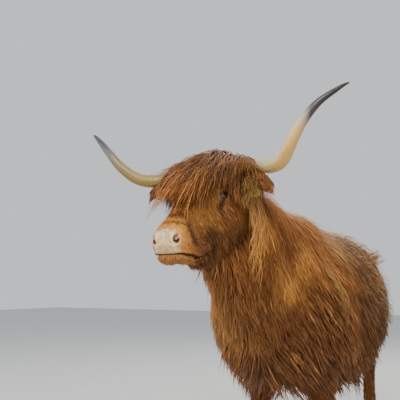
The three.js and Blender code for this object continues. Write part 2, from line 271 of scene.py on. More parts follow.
TRUNK = [
    (0, 1086, 870, 96, 110, 120, 2.0),
    (0, 1062, 840, 168, 206, 200, 2.1),
    (0, 1010, 795, 220, 294, 265, 2.15),
    (0, 905, 760, 268, 362, 270, 2.15),
    (0, 760, 725, 308, 410, 250, 2.1),
    (0, 584, 700, 334, 428, 285, 2.05),
    (0, 408, 690, 346, 430, 307, 2.05),
    (0, 233, 695, 338, 430, 318, 2.05),
    (0, 78, 715, 316, 428, 327, 2.05),
    (-2, -68, 735, 294, 404, 330, 2.05),
    (-8, -200, 745, 272, 345, 310, 2.1),
    (-14, -305, 740, 226, 262, 256, 2.1),
    (-14, -360, 730, 134, 152, 160, 2.0),
]
NECK = [
    (0, 40, 830, 200, 300, 250, 2.0),
    (-4, -90, 880, 208, 288, 300, 2.0),
    (-12, -210, 935, 196, 256, 335, 2.0),
    (-24, -320, 992, 178, 226, 330, 2.0),
    (-38, -420, 1050, 158, 202, 290, 2.0),
    (-52, -510, 1108, 140, 180, 232, 2.0),
    (-62, -575, 1156, 120, 140, 160, 2.0),
]
# In the head's frame: x from poll to muzzle, y to the cow's left, z out of the brow.
SKULL = [
    (-60, 0, -120, 80, 80, 80, 2.0),
    (-30, 0, -118, 106, 112, 118, 2.1),
    (30, 0, -122, 118, 130, 140, 2.25),
    (95, 0, -122, 121, 134, 142, 2.3),
    (150, 0, -120, 114, 128, 132, 2.35),
    (205, 0, -116, 97, 114, 116, 2.4),
    (265, 0, -112, 78, 96, 98, 2.4),
    (320, 0, -110, 67, 84, 82, 2.4),
    (368, 0, -111, 67, 78, 70, 2.5),
    (406, 0, -112, 70, 69, 62, 2.6),
    (430, 0, -114, 64, 56, 52, 2.6),
    (441, 0, -116, 44, 34, 34, 2.4),
]
FRONT_LEG = [
    (190, -8, 985, 48, 95, 95, 2.0),
    (208, -55, 860, 86, 150, 150, 2.1),
    (206, -72, 740, 100, 165, 155, 2.2),
    (194, -52, 640, 104, 142, 138, 2.2),
    (176, -16, 545, 94, 108, 112, 2.1),
    (160, 0, 440, 74, 80, 82, 2.1),
    (154, 0, 350, 58, 58, 58, 2.1),
    (152, -4, 300, 57, 60, 52, 2.2),
    (152, 4, 225, 47, 46, 49, 2.1),
    (152, 8, 150, 48, 47, 56, 2.1),
    (152, 4, 104, 56, 53, 63, 2.1),
    (152, -10, 62, 59, 60, 56, 2.1),
    (152, -14, 46, 54, 54, 46, 2.1),
]
HIND_LEG = [
    (150, 824, 1000, 56, 120, 116, 2.0),
    (172, 856, 880, 88, 176, 168, 2.1),
    (184, 856, 750, 98, 194, 184, 2.2),
    (182, 852, 640, 96, 170, 164, 2.2),
    (168, 888, 545, 77, 116, 110, 2.1),
    (157, 940, 470, 60, 76, 74, 2.1),
    (152, 958, 410, 54, 62, 61, 2.2),
    (151, 950, 330, 47, 50, 50, 2.1),
    (151, 934, 230, 46, 47, 51, 2.1),
    (152, 920, 150, 48, 48, 56, 2.1),
    (152, 911, 104, 56, 54, 61, 2.1),
    (152, 896, 62, 59, 60, 56, 2.1),
    (152, 892, 46, 54, 54, 46, 2.1),
]
FOOT_SIDE = 152
STRIDES = {"fl": -45, "fr": 50, "hl": 50, "hr": -55}
STRIDE_TOP = 640
# The tail's skin, from inside the rump to the end of its bone.
TAIL = [
    (0, 1040, 1084, 34, 30, 30, 2.0),
    (0, 1100, 1056, 34, 30, 30, 2.0),
    (0, 1138, 1004, 29, 28, 28, 2.0),
    (2, 1156, 930, 25, 24, 24, 2.0),
    (4, 1166, 840, 22, 21, 21, 2.0),
    (8, 1169, 740, 20, 19, 19, 2.0),
    (12, 1170, 620, 17, 17, 17, 2.0),
    (14, 1170, 500, 13, 13, 13, 2.0),
    (14, 1170, 450, 8, 8, 8, 2.0),
]
UDDER = [
    (0, 700, 520, 60, 50, 40, 2.0),
    (0, 740, 505, 108, 90, 62, 2.1),
    (0, 800, 500, 122, 100, 78, 2.2),
    (0, 855, 510, 96, 90, 70, 2.1),
    (0, 885, 530, 50, 50, 44, 2.0),
]
# The leaf of an ear without its hair, in the head's frame.
EAR = [
    (4, 84, -60, 20, 14, 14, 2.0),
    (18, 118, -58, 33, 13, 14, 2.0),
    (32, 152, -64, 40, 12, 15, 2.0),
    (44, 184, -80, 38, 11, 14, 2.0),
    (52, 203, -98, 26, 9, 11, 2.0),
    (56, 212, -114, 9, 6, 7, 2.0),
]
EAR_LIFT = {"left": 15.0, "right": 26.0}
EAR_REACH = {"left": 0.96, "right": 1.30}
TEAT_SIDE, TEAT_FRONT, TEAT_BACK, TEAT_TOP, TEAT_END, TEAT_RADIUS = 48, 752, 828, 470, 402, 10.5


def head_axes() -> Array:
    """The head's three axes in the cow's frame, as rows: to the muzzle, to its left, out of the brow."""
    pitch, turn, roll = (math.radians(v) for v in (HEAD_PITCH, HEAD_TURN, HEAD_ROLL))
    forward = np.array([
        math.sin(turn) * math.cos(pitch), -math.cos(turn) * math.cos(pitch), -math.sin(pitch)])
    left = rotated(np.array([math.cos(turn), math.sin(turn), 0.0]), forward, roll)
    return np.array([forward, left, np.cross(forward, left)])


def frames() -> tuple[Place, Place]:
    """The cow's frame and the head's frame in the world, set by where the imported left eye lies."""
    axes = head_axes()
    eye = np.array(POLL) * MM + (np.array(EYE_AT) * MM) @ axes
    low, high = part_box("eye_left")
    shift = (np.array(low) + np.array(high)) / 2 - eye
    shift[2] = 0.0
    body = Place(shift, np.eye(3))
    return body, Place(shift + np.array(POLL) * MM, axes)


BODY, HEAD = frames()


# ---- the body as one distance
class Side(Enum):
    """The cow's two sides, as the sign of +X."""

    LEFT = 1
    RIGHT = -1

    @property
    def word(self) -> str:
        """The side's name in lower case, as in the names of pieces."""
        return self.name.lower()


def leg_sections(sections: list, side: Side, stride: float) -> list:
    """Sections of a leg on its own side, set forwards or back by its stride towards the floor."""
    return [
        (side.value * x, y + stride * max(0.0, 1 - z / STRIDE_TOP), z, *rest)
        for x, y, z, *rest in sections]


def ear_place(side: Side) -> Place:
    """The frame of an ear at its root: along the face, out of the head and up, turned up by its lift."""
    lift = math.radians(EAR_LIFT[side.word])
    c, s = math.cos(lift), math.sin(lift)
    face, left, brow = HEAD.axes
    out, up = side.value * left * c + brow * s, brow * c - side.value * left * s
    root = np.array(EAR[0][:3]) * (1, side.value, 1) * MM
    return Place(HEAD.world(root), np.array([face, out, up]))


def ear_sections(side: Side) -> list:
    """The leaf of an ear, counted from its root and drawn out by its reach."""
    reach = EAR_REACH[side.word]
    root = EAR[0]
    return [
        ((x - root[0]) * reach, (y - root[1]) * reach, (z - root[2]) * reach, *rest)
        for x, y, z, *rest in EAR]


@dataclass
class Form:
    """The flesh of the cow: named lofts, how softly each melts into those before, and how far it counts."""

    lofts: dict = field(default_factory=dict)
    melts: dict = field(default_factory=dict)
    reach: float = 0.12

    def __post_init__(self) -> None:
        """Lists the lofts from the trunk outwards."""
        x, y, z = (1, 0, 0), (0, 1, 0), (0, 0, 1)
        down = (0, -1, 0)
        self.add("trunk", Loft(TRUNK, BODY, x, z, (0.03, 0.038, 0.036, 0.036, 0.038, 0.042)), 0.06)
        self.add("neck", Loft(NECK, BODY, x, NECK_UP, (0.036, 0.042, 0.046, 0.044, 0.036)), 0.07)
        for name, stride in STRIDES.items():
            side = Side.LEFT if name[1] == "l" else Side.RIGHT
            sections = FRONT_LEG if name[0] == "f" else HIND_LEG
            depth = (0.03, 0.03, 0.028, 0.021, 0.016, 0.013, 0.01)
            self.add(f"leg_{name}", Loft(leg_sections(sections, side, stride), BODY, x, down, depth), 0.06)
        depth = (0.016, 0.014, 0.012, 0.01, 0.008, 0.005, 0.003, 0.002)
        self.add("skull", Loft(SKULL, HEAD, y, z, depth), 0.035)
        self.add("tail", Loft(TAIL, BODY, x, down, (0.0, 0.0)), 0.03)
        self.add("udder", Loft(UDDER, BODY, x, z, (0.006, 0.0)), 0.025)
        for side in Side:
            self.add(f"ear_{side.word}", Loft(ear_sections(side), ear_place(side), x, z, (0.0, 0.0)), 0.018)

    def add(self, name: str, loft: Loft, melt: float) -> None:
        """Adds a loft that melts into the rest over the given reach in metres."""
        self.lofts[name] = loft
        self.melts[name] = melt

    def distance(self, points: Array, fine: bool = False) -> Array:
        """Distance from the skin, below zero inside: all lofts melted together, then the face's forms.

        Args:
            points: world points, (n, 3).
            fine: whether lids, nostrils, lips and folds are there too.

        Returns:
            One distance in metres for each point.
        """
        out = np.full(len(points), 0.2)
        for name, loft in self.lofts.items():
            near = np.flatnonzero(within(points, *loft.box(self.reach)))
            out[near] = blend(out[near], loft.distance(points[near]), self.melts[name])
        teats(points, out)
        face_forms(points, out)
        if fine:
            face_details(points, out)
        return out

    def slope(self, points: Array) -> Array:
        """The gradient of the distance, from points a little to either side along each axis."""
        ahead = [self.distance(points + move) for move in MM * np.eye(3)]
        behind = [self.distance(points - move) for move in MM * np.eye(3)]
        return np.subtract(ahead, behind).T / (2 * MM)

    def settle(self, points: Array, rounds: int = 2) -> Array:
        """Moves points onto the skin: each round steps by the distance over its slope, downhill."""
        for _ in range(rounds):
            slope = self.slope(points)
            size = np.maximum(np.sum(slope**2, axis=1), 0.05)
            step = np.clip(self.distance(points) / size, -8 * MM, 8 * MM)
            points = points - slope * step[:, None]
        return points


def away(points: Array, place: tuple | Array) -> Array:
    """Distance from a place."""
    return np.linalg.norm(points - place, axis=1)


def capsule(points: Array, start: tuple | Array, end: tuple | Array, radius: float = 0.0) -> Array:
    """Distance from a rod with round ends: from the nearest place on its middle line, less its radius.

    Args:
        points: where the distance is read.
        start: one end of the middle line.
        end: its other end.
        radius: of the rod.

    Returns:
        One distance for each point.
    """
    line = np.subtract(end, start)
    t = np.clip((points - start) @ line / (line @ line), 0, 1)
    return away(points - start, t[:, None] * line) - radius


def chain(points: Array, line: tuple, radius: float = 0.0) -> Array:
    """Distance from rods with round ends that follow a line of places."""
    return np.min([capsule(points, a, b, radius) for a, b in zip(line, line[1:])], axis=0)


def teats(points: Array, out: Array) -> None:
    """Melts the udder's four teats into the distance, in place."""
    middle = BODY.world(np.array([0, 0.79, 0.44]))
    near = np.flatnonzero(within(points, middle - 0.13, middle + 0.13))
    heights = (TEAT_TOP, TEAT_END + TEAT_RADIUS)
    for side, back in product(Side, (TEAT_FRONT, TEAT_BACK)):
        rod = (BODY.world(np.array([side.value * TEAT_SIDE, back, z]) * MM) for z in heights)
        out[near] = blend(out[near], capsule(points[near], *rod, TEAT_RADIUS * MM), 0.012)


# ---- the forms of the face
EYE_RADIUS = 0.0195
EYE_CENTRE = np.array([0.168, 0.0905, -0.052])
EYE_OUT = unit(np.array([0.3, 0.93, 0.16]))
LID_LONG = unit(np.cross(np.array([0.1, -0.1, 1.0]), EYE_OUT))
LID_UP = np.cross(EYE_OUT, LID_LONG)
# The mouth's line on the side of the face, along it and out of the brow, in millimetres.
MOUTH = ((460, -118), (440, -120), (425, -134), (405, -149), (385, -166), (365, -182), (345, -192),
         (300, -200))
# Places along the bridge of the nose where the skin folds.
FOLDS = (0.323, 0.332, 0.342, 0.353, 0.374)
FOLD_DEPTH = 2.0 * MM
NOSTRIL_AT = np.array([0.427, 0.043, -0.076])
# Rods in the head's frame that the face's soft forms follow.
FLEWS = ((0.402, 0.037, -0.15), (0.31, 0.042, -0.174))
THROAT = ((0.33, 0.0, -0.196), (0.225, 0.0, -0.232), (0.11, 0.0, -0.29))
BROW = ((0.13, 0.08, -0.02), (0.19, 0.072, -0.026))
LIP_CREASE = ((0.357, 0.05, -0.064), (0.368, 0.062, -0.09), (0.368, 0.064, -0.124),
              (0.352, 0.056, -0.165), (0.346, 0.05, -0.192))
TEAR = ((0.18, 0.098, -0.064), (0.207, 0.088, -0.092), (0.198, 0.088, -0.13), (0.216, 0.08, -0.165))


def folded(points: Array, axis: int = 1) -> Array:
    """Points with the right half turned onto the left: along y in the head's frame, x in the cow's."""
    out = points.copy()
    out[:, axis] = np.abs(out[:, axis])
    return out


def near_face(points: Array) -> tuple[Array, Array]:
    """Which points lie about the face, and those in the head's frame, folded onto the left side."""
    head = folded(HEAD.local(points))
    near = np.flatnonzero(within(head, (-0.02, -1, -0.37), (0.49, 0.16, 0.06)))
    return near, head[near]


def mouth_height(x: Array) -> Array:
    """Height of the mouth line in the head's frame at places along the face."""
    line = np.array(MOUTH[::-1]) * MM
    return np.interp(x, line[:, 0], line[:, 1])


def face_forms(points: Array, out: Array) -> None:
    """Adds the broad forms to the distance, in place: orbit, brow, cheek, the hollow before it, chin.

    Args:
        points: world points.
        out: their distances, which change.
    """
    near, head = near_face(points)
    x, y, z = head.T
    d = out[near]
    side = ease(0.03, 0.07, y)
    d = d + 5 * MM * bell(x, 0.29, 0.05) * bell(z, -0.085, 0.035) * side
    d = d - 7 * MM * bell(x, 0.115, 0.06) * bell(z, -0.165, 0.05) * side
    d = d + 5 * MM * bell(x, 0.415, 0.032) * ease(0.04, 0.06, y)
    d = d + 6 * MM * bell(x, 0.437, 0.022) * ease(-0.145, -0.165, z)
    d = blend(d, capsule(head, *FLEWS, 0.0255), 0.028)
    throat = capsule(head, *THROAT[:2], 0.02)
    dewlap = capsule(head, *THROAT[1:], 0.03)
    d = blend(d, np.minimum(throat, dewlap), 0.04)
    orbit = away(head - EYE_CENTRE, -0.017 * EYE_OUT) - 0.0335
    d = blend(d, orbit, 0.03)
    out[near] = blend(d, capsule(head, *BROW, 0.013), 0.024)


def face_details(points: Array, out: Array) -> None:
    """Adds the fine forms to the distance, in place: lids, nostrils, lips and the folds over the nose."""
    near, head = near_face(points)
    d = lips(out[near], head)
    d = lids(d, head)
    out[near] = nostrils(d, head)


def lips(d: Array, head: Array) -> Array:
    """The parting of the lips, the groove below the nose, the crease behind the lip, pad and folds.

    Args:
        d: distances from the skin so far.
        head: the points in the head's frame, the right half folded onto the left.

    Returns:
        The distances with these forms.
    """
    x, y, z = head.T
    lip = z - mouth_height(x)
    fore = ease(0.338, 0.356, x)
    d = d + 7 * MM * bell(lip, -0.0015, 0.0032) * fore
    d = d + 5 * MM * ease(0.002, -0.007, lip) * ease(0.34, 0.4, x)
    d = d - 3 * MM * bell(lip, 0.009, 0.008) * fore * ease(0.012, 0.035, y)
    d = d + 3.0 * MM * bell(y, 0, 0.005) * ease(0.42, 0.45, x) * ease(-0.075, -0.1, z)
    crease = lip_crease(head)
    d = d + 2.6 * MM * bell(crease, 0.0, 0.004) - 1.5 * MM * bell(crease, 0.01, 0.005)
    pad = pad_mask(head)
    d = d - 1.6 * MM * pad + 1.2 * MM * bell(pad, 0.5, 0.35) * ease(0.38, 0.4, x)
    return d + fold_depth(head)


def lip_crease(head: Array) -> Array:
    """Distance from the wrinkled line that runs behind the nostril down to the corner of the mouth."""
    return chain(folded(head), LIP_CREASE)


def fold_depth(head: Array) -> Array:
    """Arched furrows over the nose, from points in the head's frame: their depth in metres."""
    x, y, z = folded(head).T
    bend = x - (11 * ease(0.368, 0.345, x) - 3) * y**2
    depth = np.sum([bell(bend, at, 0.0024) for at in FOLDS], axis=0) + 0.6 * bell(bend, FOLDS[-1], 0.0035)
    return FOLD_DEPTH * depth * ease(-0.088, -0.066, z)


def lids(d: Array, head: Array) -> Array:
    """Two lids over the eyeball with an almond opening, and a crease over the upper one.

    Args:
        d: distances from the skin so far.
        head: the points, as in lips.

    Returns:
        The distances with these forms.
    """
    from_eye = head - EYE_CENTRE
    r = np.linalg.norm(from_eye, axis=1)
    facing = ease(0.0, 0.008, from_eye @ EYE_OUT)
    d = blend(d, r - (EYE_RADIUS + 3.0 * MM), 0.01)
    along, up = from_eye @ LID_LONG, from_eye @ LID_UP
    t = np.clip(np.abs(along) / 0.018, 0, 1)
    arch = 1 - t**2
    upper, lower = 0.0095 * arch + 0.0004, -0.0088 * arch - 0.0004
    rim = np.minimum(np.abs(up - upper), np.abs(up - lower)) + 0.02 * (t >= 1)
    d = d - 1.3 * MM * bell(rim, 0.0012, 0.0016) * facing
    d = d + 1.8 * MM * bell(up - 0.0165 * arch, 0.0015, 0.0016) * facing * ease(1.0, 0.7, t)
    almond = np.where(t < 1, np.maximum(up - upper, lower - up), 0.01)
    return d + 7.0 * MM * ease(0.0012, -0.0014, almond) * facing


def nostrils(d: Array, head: Array) -> Array:
    """A comma-shaped nostril: a hollow that bends up and back, inside a raised wing.

    Args:
        d: distances from the skin so far.
        head: the points, as in lips.

    Returns:
        The distances with these forms.
    """
    p = head - NOSTRIL_AT
    axis = unit(np.array([0.88, 0.46, -0.05]))
    lean = unit(np.array([-0.3, 0.5, 0.81]))
    a, b, c = p @ axis, p @ lean, p @ np.cross(axis, lean)
    bend = c - 9 * b**2
    ring = np.sqrt((b / 0.0165) ** 2 + (bend / 0.0092) ** 2)
    d = d - 2.6 * MM * bell(ring, 1.5, 0.42) * bell(a, 0.0, 0.03)
    deep = ease(1.12, 0.25, ring) * bell(a, 0.0, 0.035)
    return d + 24 * MM * deep


# ---- the skin's mesh
def surface_net(values: Array, origin: Array, cell: float) -> tuple[Array, Array]:
    """Turns a grid of distances into a closed skin of quads where they pass through zero.

    Every cell that the skin crosses gets one point, the mean of where it crosses the cell's edges.
    Every grid edge that the skin crosses gets a quad between the points of the four cells round it.

    Args:
        values: distances at the nodes of a regular grid.
        origin: the grid's first node.
        cell: its spacing.

    Returns:
        Points and quads.
    """
    inside = values < 0
    shape = np.array(values.shape) - 1
    corners = list(product((0, 1), repeat=3))
    views = [inside[i:i + shape[0], j:j + shape[1], k:k + shape[2]] for i, j, k in corners]
    crossing = np.logical_or.reduce(views) & ~np.logical_and.reduce(views)
    cells = np.argwhere(crossing)
    number = np.full(crossing.shape, -1)
    number[crossing] = np.arange(len(cells))
    at = {c: values[tuple((cells + c).T)] for c in corners}
    total, count = np.zeros((len(cells), 3)), np.zeros((len(cells), 1))
    for start, axis in product(corners, range(3)):
        if start[axis]:
            continue
        end = tuple(1 if k == axis else v for k, v in enumerate(start))
        a, b = at[start], at[end]
        crossed = ((a < 0) != (b < 0))[:, None]
        t = np.where(crossed[:, 0], a / np.where(crossed[:, 0], a - b, 1), 0)
        place = np.array(start, float) + t[:, None] * np.eye(3)[axis]
        total += np.where(crossed, place, 0)
        count += crossed
    points = origin + cell * (cells + total / count)
    quads = []
    for axis in range(3):
        b, c = (axis + 1) % 3, (axis + 2) % 3
        change = -np.diff(inside.astype(int), axis=axis)
        nodes = np.argwhere(change)
        nodes = nodes[np.all((nodes[:, [b, c]] > 0) & (nodes[:, [b, c]] < shape[[b, c]]), axis=1)]
        sign = change[tuple(nodes.T)]
        back_b, back_c = -np.eye(3, dtype=int)[[b, c]]
        shifts = (0 * back_b, back_b, back_b + back_c, back_c)
        quad = np.column_stack([number[tuple((nodes + shift).T)] for shift in shifts])
        quads.append(np.where(sign[:, None] > 0, quad, quad[:, ::-1]))
    return points, np.concatenate(quads)


def smoothed(points: Array, quads: Array, rounds: int) -> Array:
    """Each point moved half way to the mean of its neighbours, so many times over.

    Args:
        points: of a closed net.
        quads: its faces.
        rounds: how many times.

    Returns:
        The points in their new places.
    """
    a = quads.ravel()
    b = np.roll(quads, -1, axis=1).ravel()
    ends, others = np.concatenate([a, b]), np.concatenate([b, a])
    count = np.maximum(np.bincount(ends, minlength=len(points)), 1)[:, None]
    for _ in range(rounds):
        mean = np.column_stack([np.bincount(ends, points[others, k], len(points)) for k in range(3)]) / count
        points = points + 0.5 * (mean - points)
    return points


def flat(values: Array) -> Array:
    """Numbers as the one long single-precision row that a mesh takes."""
    return np.ascontiguousarray(values, np.float32).ravel()


def object_from(name: str, points: Array, *faces: Array) -> Object:
    """A smooth-shaded object at the origin.

    Args:
        name: of the object.
        points: its points, (n, 3).
        faces: arrays of faces, each with its own number of corners.

    Returns:
        The object, in the scene.
    """
    mesh = bpy.data.meshes.new(name)
    mesh.vertices.add(len(points))
    mesh.vertices.foreach_set("co", flat(points))
    loops = np.concatenate([part.ravel() for part in faces]).astype(np.int32)
    mesh.loops.add(len(loops))
    mesh.loops.foreach_set("vertex_index", loops)
    sizes = np.concatenate([np.full(len(part), part.shape[1]) for part in faces])
    starts = np.concatenate([[0], np.cumsum(sizes)[:-1]])
    mesh.polygons.add(len(sizes))
    mesh.polygons.foreach_set("loop_start", starts.astype(np.int32))
    mesh.polygons.foreach_set("use_smooth", np.ones(len(sizes), bool))
    mesh.update(calc_edges=True)
    obj = bpy.data.objects.new(name, mesh)
    bpy.context.scene.collection.objects.link(obj)
    return obj


def paint(obj: Object, name: str, values: Array) -> None:
    """Keeps a colour or a number for each point of an object.

    Args:
        obj: whose points they are.
        name: of the attribute.
        values: (n, 3) for colours, (n,) for numbers.
    """
    mesh = obj.data
    if values.ndim == 1:
        mesh.attributes.new(name, "FLOAT", "POINT").data.foreach_set("value", flat(values))
        return
    opaque = flat(np.column_stack([values, np.ones(len(values))]))
    mesh.attributes.new(name, "FLOAT_COLOR", "POINT").data.foreach_set("color", opaque)


def lay_out(obj: Object, name: str, places: Array) -> None:
    """Gives an object a UV map from one place for each point."""
    mesh = obj.data
    loops = np.empty(len(mesh.loops), np.int32)
    mesh.loops.foreach_get("vertex_index", loops)
    mesh.uv_layers.new(name=name).data.foreach_set("uv", flat(places[loops]))


def mesh_points(mesh: Mesh) -> Array:
    """The mesh's points as an (n, 3) array."""
    out = np.empty(len(mesh.vertices) * 3, np.float32)
    mesh.vertices.foreach_get("co", out)
    return out.reshape(-1, 3).astype(float)


@dataclass
class Field:
    """The distance from the skin and its slope on a regular grid, read between the nodes."""

    low: Array
    cell: float
    values: Array

    @classmethod
    def over(cls, form: Form, cell: float, margin: float) -> "Field":
        """Reads a form at every node of a grid that holds it and a margin round it.

        Args:
            form: what is read.
            cell: the grid's spacing.
            margin: how far it reaches past the form.

        Returns:
            The field.
        """
        low, high = (np.array(v) for v in zip(*(loft.box(margin) for loft in form.lofts.values())))
        low, high = low.min(0), high.max(0)
        low[2] = 0.02
        steps = np.ceil((high - low) / cell).astype(int) + 1
        axes = [low[k] + cell * np.arange(steps[k]) for k in range(3)]
        grid = np.stack(np.meshgrid(*axes, indexing="ij"), axis=-1).reshape(-1, 3)
        distance = form.distance(grid).reshape(steps)
        slope = np.gradient(distance, cell)
        return cls(low, cell, np.stack([distance, *slope], axis=-1))

    def read(self, points: Array) -> tuple[Array, Array]:
        """Weighs the values of the eight nodes round each point.

        Args:
            points: world points.

        Returns:
            The distance from the skin and the unit slope at each point.
        """
        q = (points - self.low) / self.cell
        first = np.clip(np.floor(q).astype(int), 0, np.array(self.values.shape[:3]) - 2)
        share = np.clip(q - first, 0, 1)
        total = np.zeros((len(points), 4))
        for corner in product((0, 1), repeat=3):
            weight = np.prod(np.where(corner, share, 1 - share), axis=1)
            total += weight[:, None] * self.values[tuple((first + corner).T)]
        return total[:, 0], unit(total[:, 1:])


@dataclass
class Skin:
    """The cow's one skin: a net over the whole form, made finer over the face and its features."""

    form: Form
    room: Field

    def build(self) -> Object:
        """Makes the skin's object, with every point settled on the form."""
        points, quads = surface_net(self.room.values[..., 0], self.room.low, self.room.cell)
        points = self.form.settle(smoothed(points, quads, 2))
        obj = object_from("skin", points, quads)
        for region in (self.on_head, self.on_face, self.on_features, self.on_lids):
            self.refine(obj.data, region)
        self.carve(obj.data)
        return obj

    def carve(self, mesh: Mesh) -> None:
        """Slides the face's points along their normals to where the fine form's surface crosses them.

        Args:
            mesh: the skin.
        """
        points = mesh_points(mesh)
        near = np.flatnonzero(self.on_head(HEAD.local(points)))
        start = points[near]
        slope = self.form.slope(start)
        normal = slope / np.linalg.norm(slope, axis=1)[:, None]
        steps = np.arange(-26, 13, 1.5) * MM
        values = np.array([self.form.distance(start + t * normal, fine=True) for t in steps])
        crosses = (values[:-1] < 0) & (values[1:] >= 0)
        middle = (steps[:-1] + steps[1:])[:, None] / 2
        best = np.argmin(np.where(crosses, np.abs(middle), 1.0), axis=0)
        found = crosses.any(axis=0)
        index = np.arange(len(near))
        a, b = values[best, index], values[best + 1, index]
        t = steps[best] + np.where(found, a / np.where(found, a - b, 1), 0) * (steps[1] - steps[0])
        points[near] = start + np.where(found, t, 0)[:, None] * normal
        mesh.vertices.foreach_set("co", flat(points))
        mesh.update()

    def refine(self, mesh: Mesh, region: Rule) -> None:
        """Cuts the faces of a region in four and settles the points again.

        Args:
            mesh: the skin.
            region: a function from points in the head's frame to a mask.
        """
        centre = np.empty(len(mesh.polygons) * 3, np.float32)
        mesh.polygons.foreach_get("center", centre)
        chosen = np.flatnonzero(region(HEAD.local(centre.reshape(-1, 3).astype(float))))
        bm = bmesh.new()
        bm.from_mesh(mesh)
        bm.faces.ensure_lookup_table()
        edges = list({e for i in chosen for e in bm.faces[i].edges})
        bmesh.ops.subdivide_edges(bm, edges=edges, cuts=1, use_grid_fill=True)
        bm.to_mesh(mesh)
        bm.free()
        points = mesh_points(mesh)
        near = np.flatnonzero(region(HEAD.local(points)))
        points[near] = self.form.settle(points[near])
        mesh.vertices.foreach_set("co", flat(points))
        mesh.update()

    @staticmethod
    def on_head(h: Array) -> Array:
        """Face, cheeks, jaw and ears."""
        side = folded(h)
        head = within(side, (0.02, -1, -0.28), (0.48, 0.14, 0.03))
        return head | within(side, (-0.06, 0.105, -0.19), (0.14, 1, 0.03))

    @staticmethod
    def on_face(h: Array) -> Array:
        """Muzzle and the surrounds of the eyes."""
        return (h[:, 0] > 0.316) | (away(folded(h), EYE_CENTRE) < 0.04)

    @staticmethod
    def on_features(h: Array) -> Array:
        """Lids, nostrils and lips."""
        side = folded(h)
        lids_near = away(side, EYE_CENTRE) < 0.03
        nose_near = away(side, NOSTRIL_AT) < 0.036
        lips_near = (np.abs(h[:, 2] - mouth_height(h[:, 0])) < 0.012) & (h[:, 0] > 0.335)
        folds_near = within(side, (0.312, -1, -0.085), (0.388, 0.062, 1))
        return lids_near | nose_near | lips_near | folds_near | (lip_crease(h) < 0.012)

    @staticmethod
    def on_lids(h: Array) -> Array:
        """The rims of the lids and of the nostrils."""
        side = folded(h)
        from_eye = np.linalg.norm((side - EYE_CENTRE) @ np.array([LID_LONG, 1.5 * LID_UP]).T, axis=1)
        lids_near = (from_eye < 0.0215) & (away(side, EYE_CENTRE) < 0.028)
        return lids_near | (away(side, NOSTRIL_AT) < 0.0195)


# ---- the colours of the coat
def colour(red: float, green: float, blue: float) -> Array:
    """A colour in linear light."""
    return np.array([red, green, blue])


# The colours of the coat and the bare skin; some are also laid on as painted shade, painted highlight or
# painted reflection.
GINGER = colour(0.315, 0.118, 0.031)
GOLD = colour(0.56, 0.265, 0.078)
BLOND = colour(0.64, 0.39, 0.14)
BROWN = colour(0.128, 0.047, 0.017)
DUN = colour(0.115, 0.058, 0.024)
AMBER = colour(0.6, 0.27, 0.064)
UMBER = colour(0.045, 0.016, 0.009)
ORANGE = colour(0.4, 0.125, 0.022)
PEACH = colour(1.0, 0.47, 0.1)
BARK = colour(0.105, 0.048, 0.021)
DUSK = colour(0.085, 0.038, 0.032)
PAD = colour(0.68, 0.48, 0.24)
RIM = colour(0.8, 0.56, 0.44)
REFLECTED_GREEN = colour(0.33, 0.27, 0.14)
PINK = colour(0.56, 0.31, 0.22)


def mixed(base: Array, other: Array, share: Array) -> Array:
    """Rows of one colour moved towards another by a share each."""
    share = np.clip(share, 0, 1)[:, None]
    return base * (1 - share) + other * share


def laid(base: Array, *layers: tuple) -> Array:
    """Colours laid over a base in order, each a pair of a colour and its share at every point."""
    for tint, share in layers:
        base = mixed(base, tint, share)
    return base


def mottle(points: Array, length: float, seed: int) -> Array:
    """A soft uneven value from -1 to 1: a sum of waves in fixed random directions.

    Args:
        points: where it is read.
        length: of a middling wave.
        seed: sets the directions.

    Returns:
        One value for each point.
    """
    rng = np.random.default_rng(seed)
    total = np.zeros(len(points))
    for _ in range(7):
        way = unit(rng.normal(size=3)) * (2 * math.pi / length) * rng.uniform(0.6, 1.7)
        total += np.sin(points @ way + rng.uniform(0, 6.3))
    return np.clip(total / 3.6, -1, 1)


def marking(points: Array) -> Array:
    """The coat's colour, with some painted shade, highlight and reflection laid in, shared by the skin and
    the locks that grow there.

    Args:
        points: world points.

    Returns:
        One colour for each.
    """
    head, body = HEAD.local(points), BODY.local(points)
    side = folded(head)
    streak = mottle(points * (1, 1, 0.4), 0.14, 3)
    return laid(
        np.tile(GINGER, (len(points), 1)),
        (GOLD, 0.4 * ease(0.1, 1, streak)),
        (BROWN, 0.5 * ease(0.05, 1, -streak)),
        *body_marking(body), *face_marking(side), *nose_marking(side, pad_mask(head)))


# A golden patch on the shoulder, from its upper end to its lower one.
SHOULDER_PATCH = ((0.152, -0.262, 0.97), (0.098, -0.372, 0.838))
# A line down the shoulder in the cow's frame where the hair of the neck meets that of the barrel.
PARTING = ((0.07, -0.03, 1.11), (0.095, -0.079, 1.091), (0.136, -0.147, 1.04), (0.174, -0.18, 0.969),
           (0.232, -0.174, 0.87), (0.263, -0.166, 0.769))


def crest_line(y: Array) -> Array:
    """Where the middle of the neck lies across the cow at places along it, in the cow's frame."""
    rows = np.array(NECK)[::-1] * MM
    return np.interp(y, rows[:, 1], rows[:, 0])


def from_parting(body: Array) -> Array:
    """Distance from the parting of the shoulder, on either side of the cow."""
    return chain(folded(body, 0), PARTING)


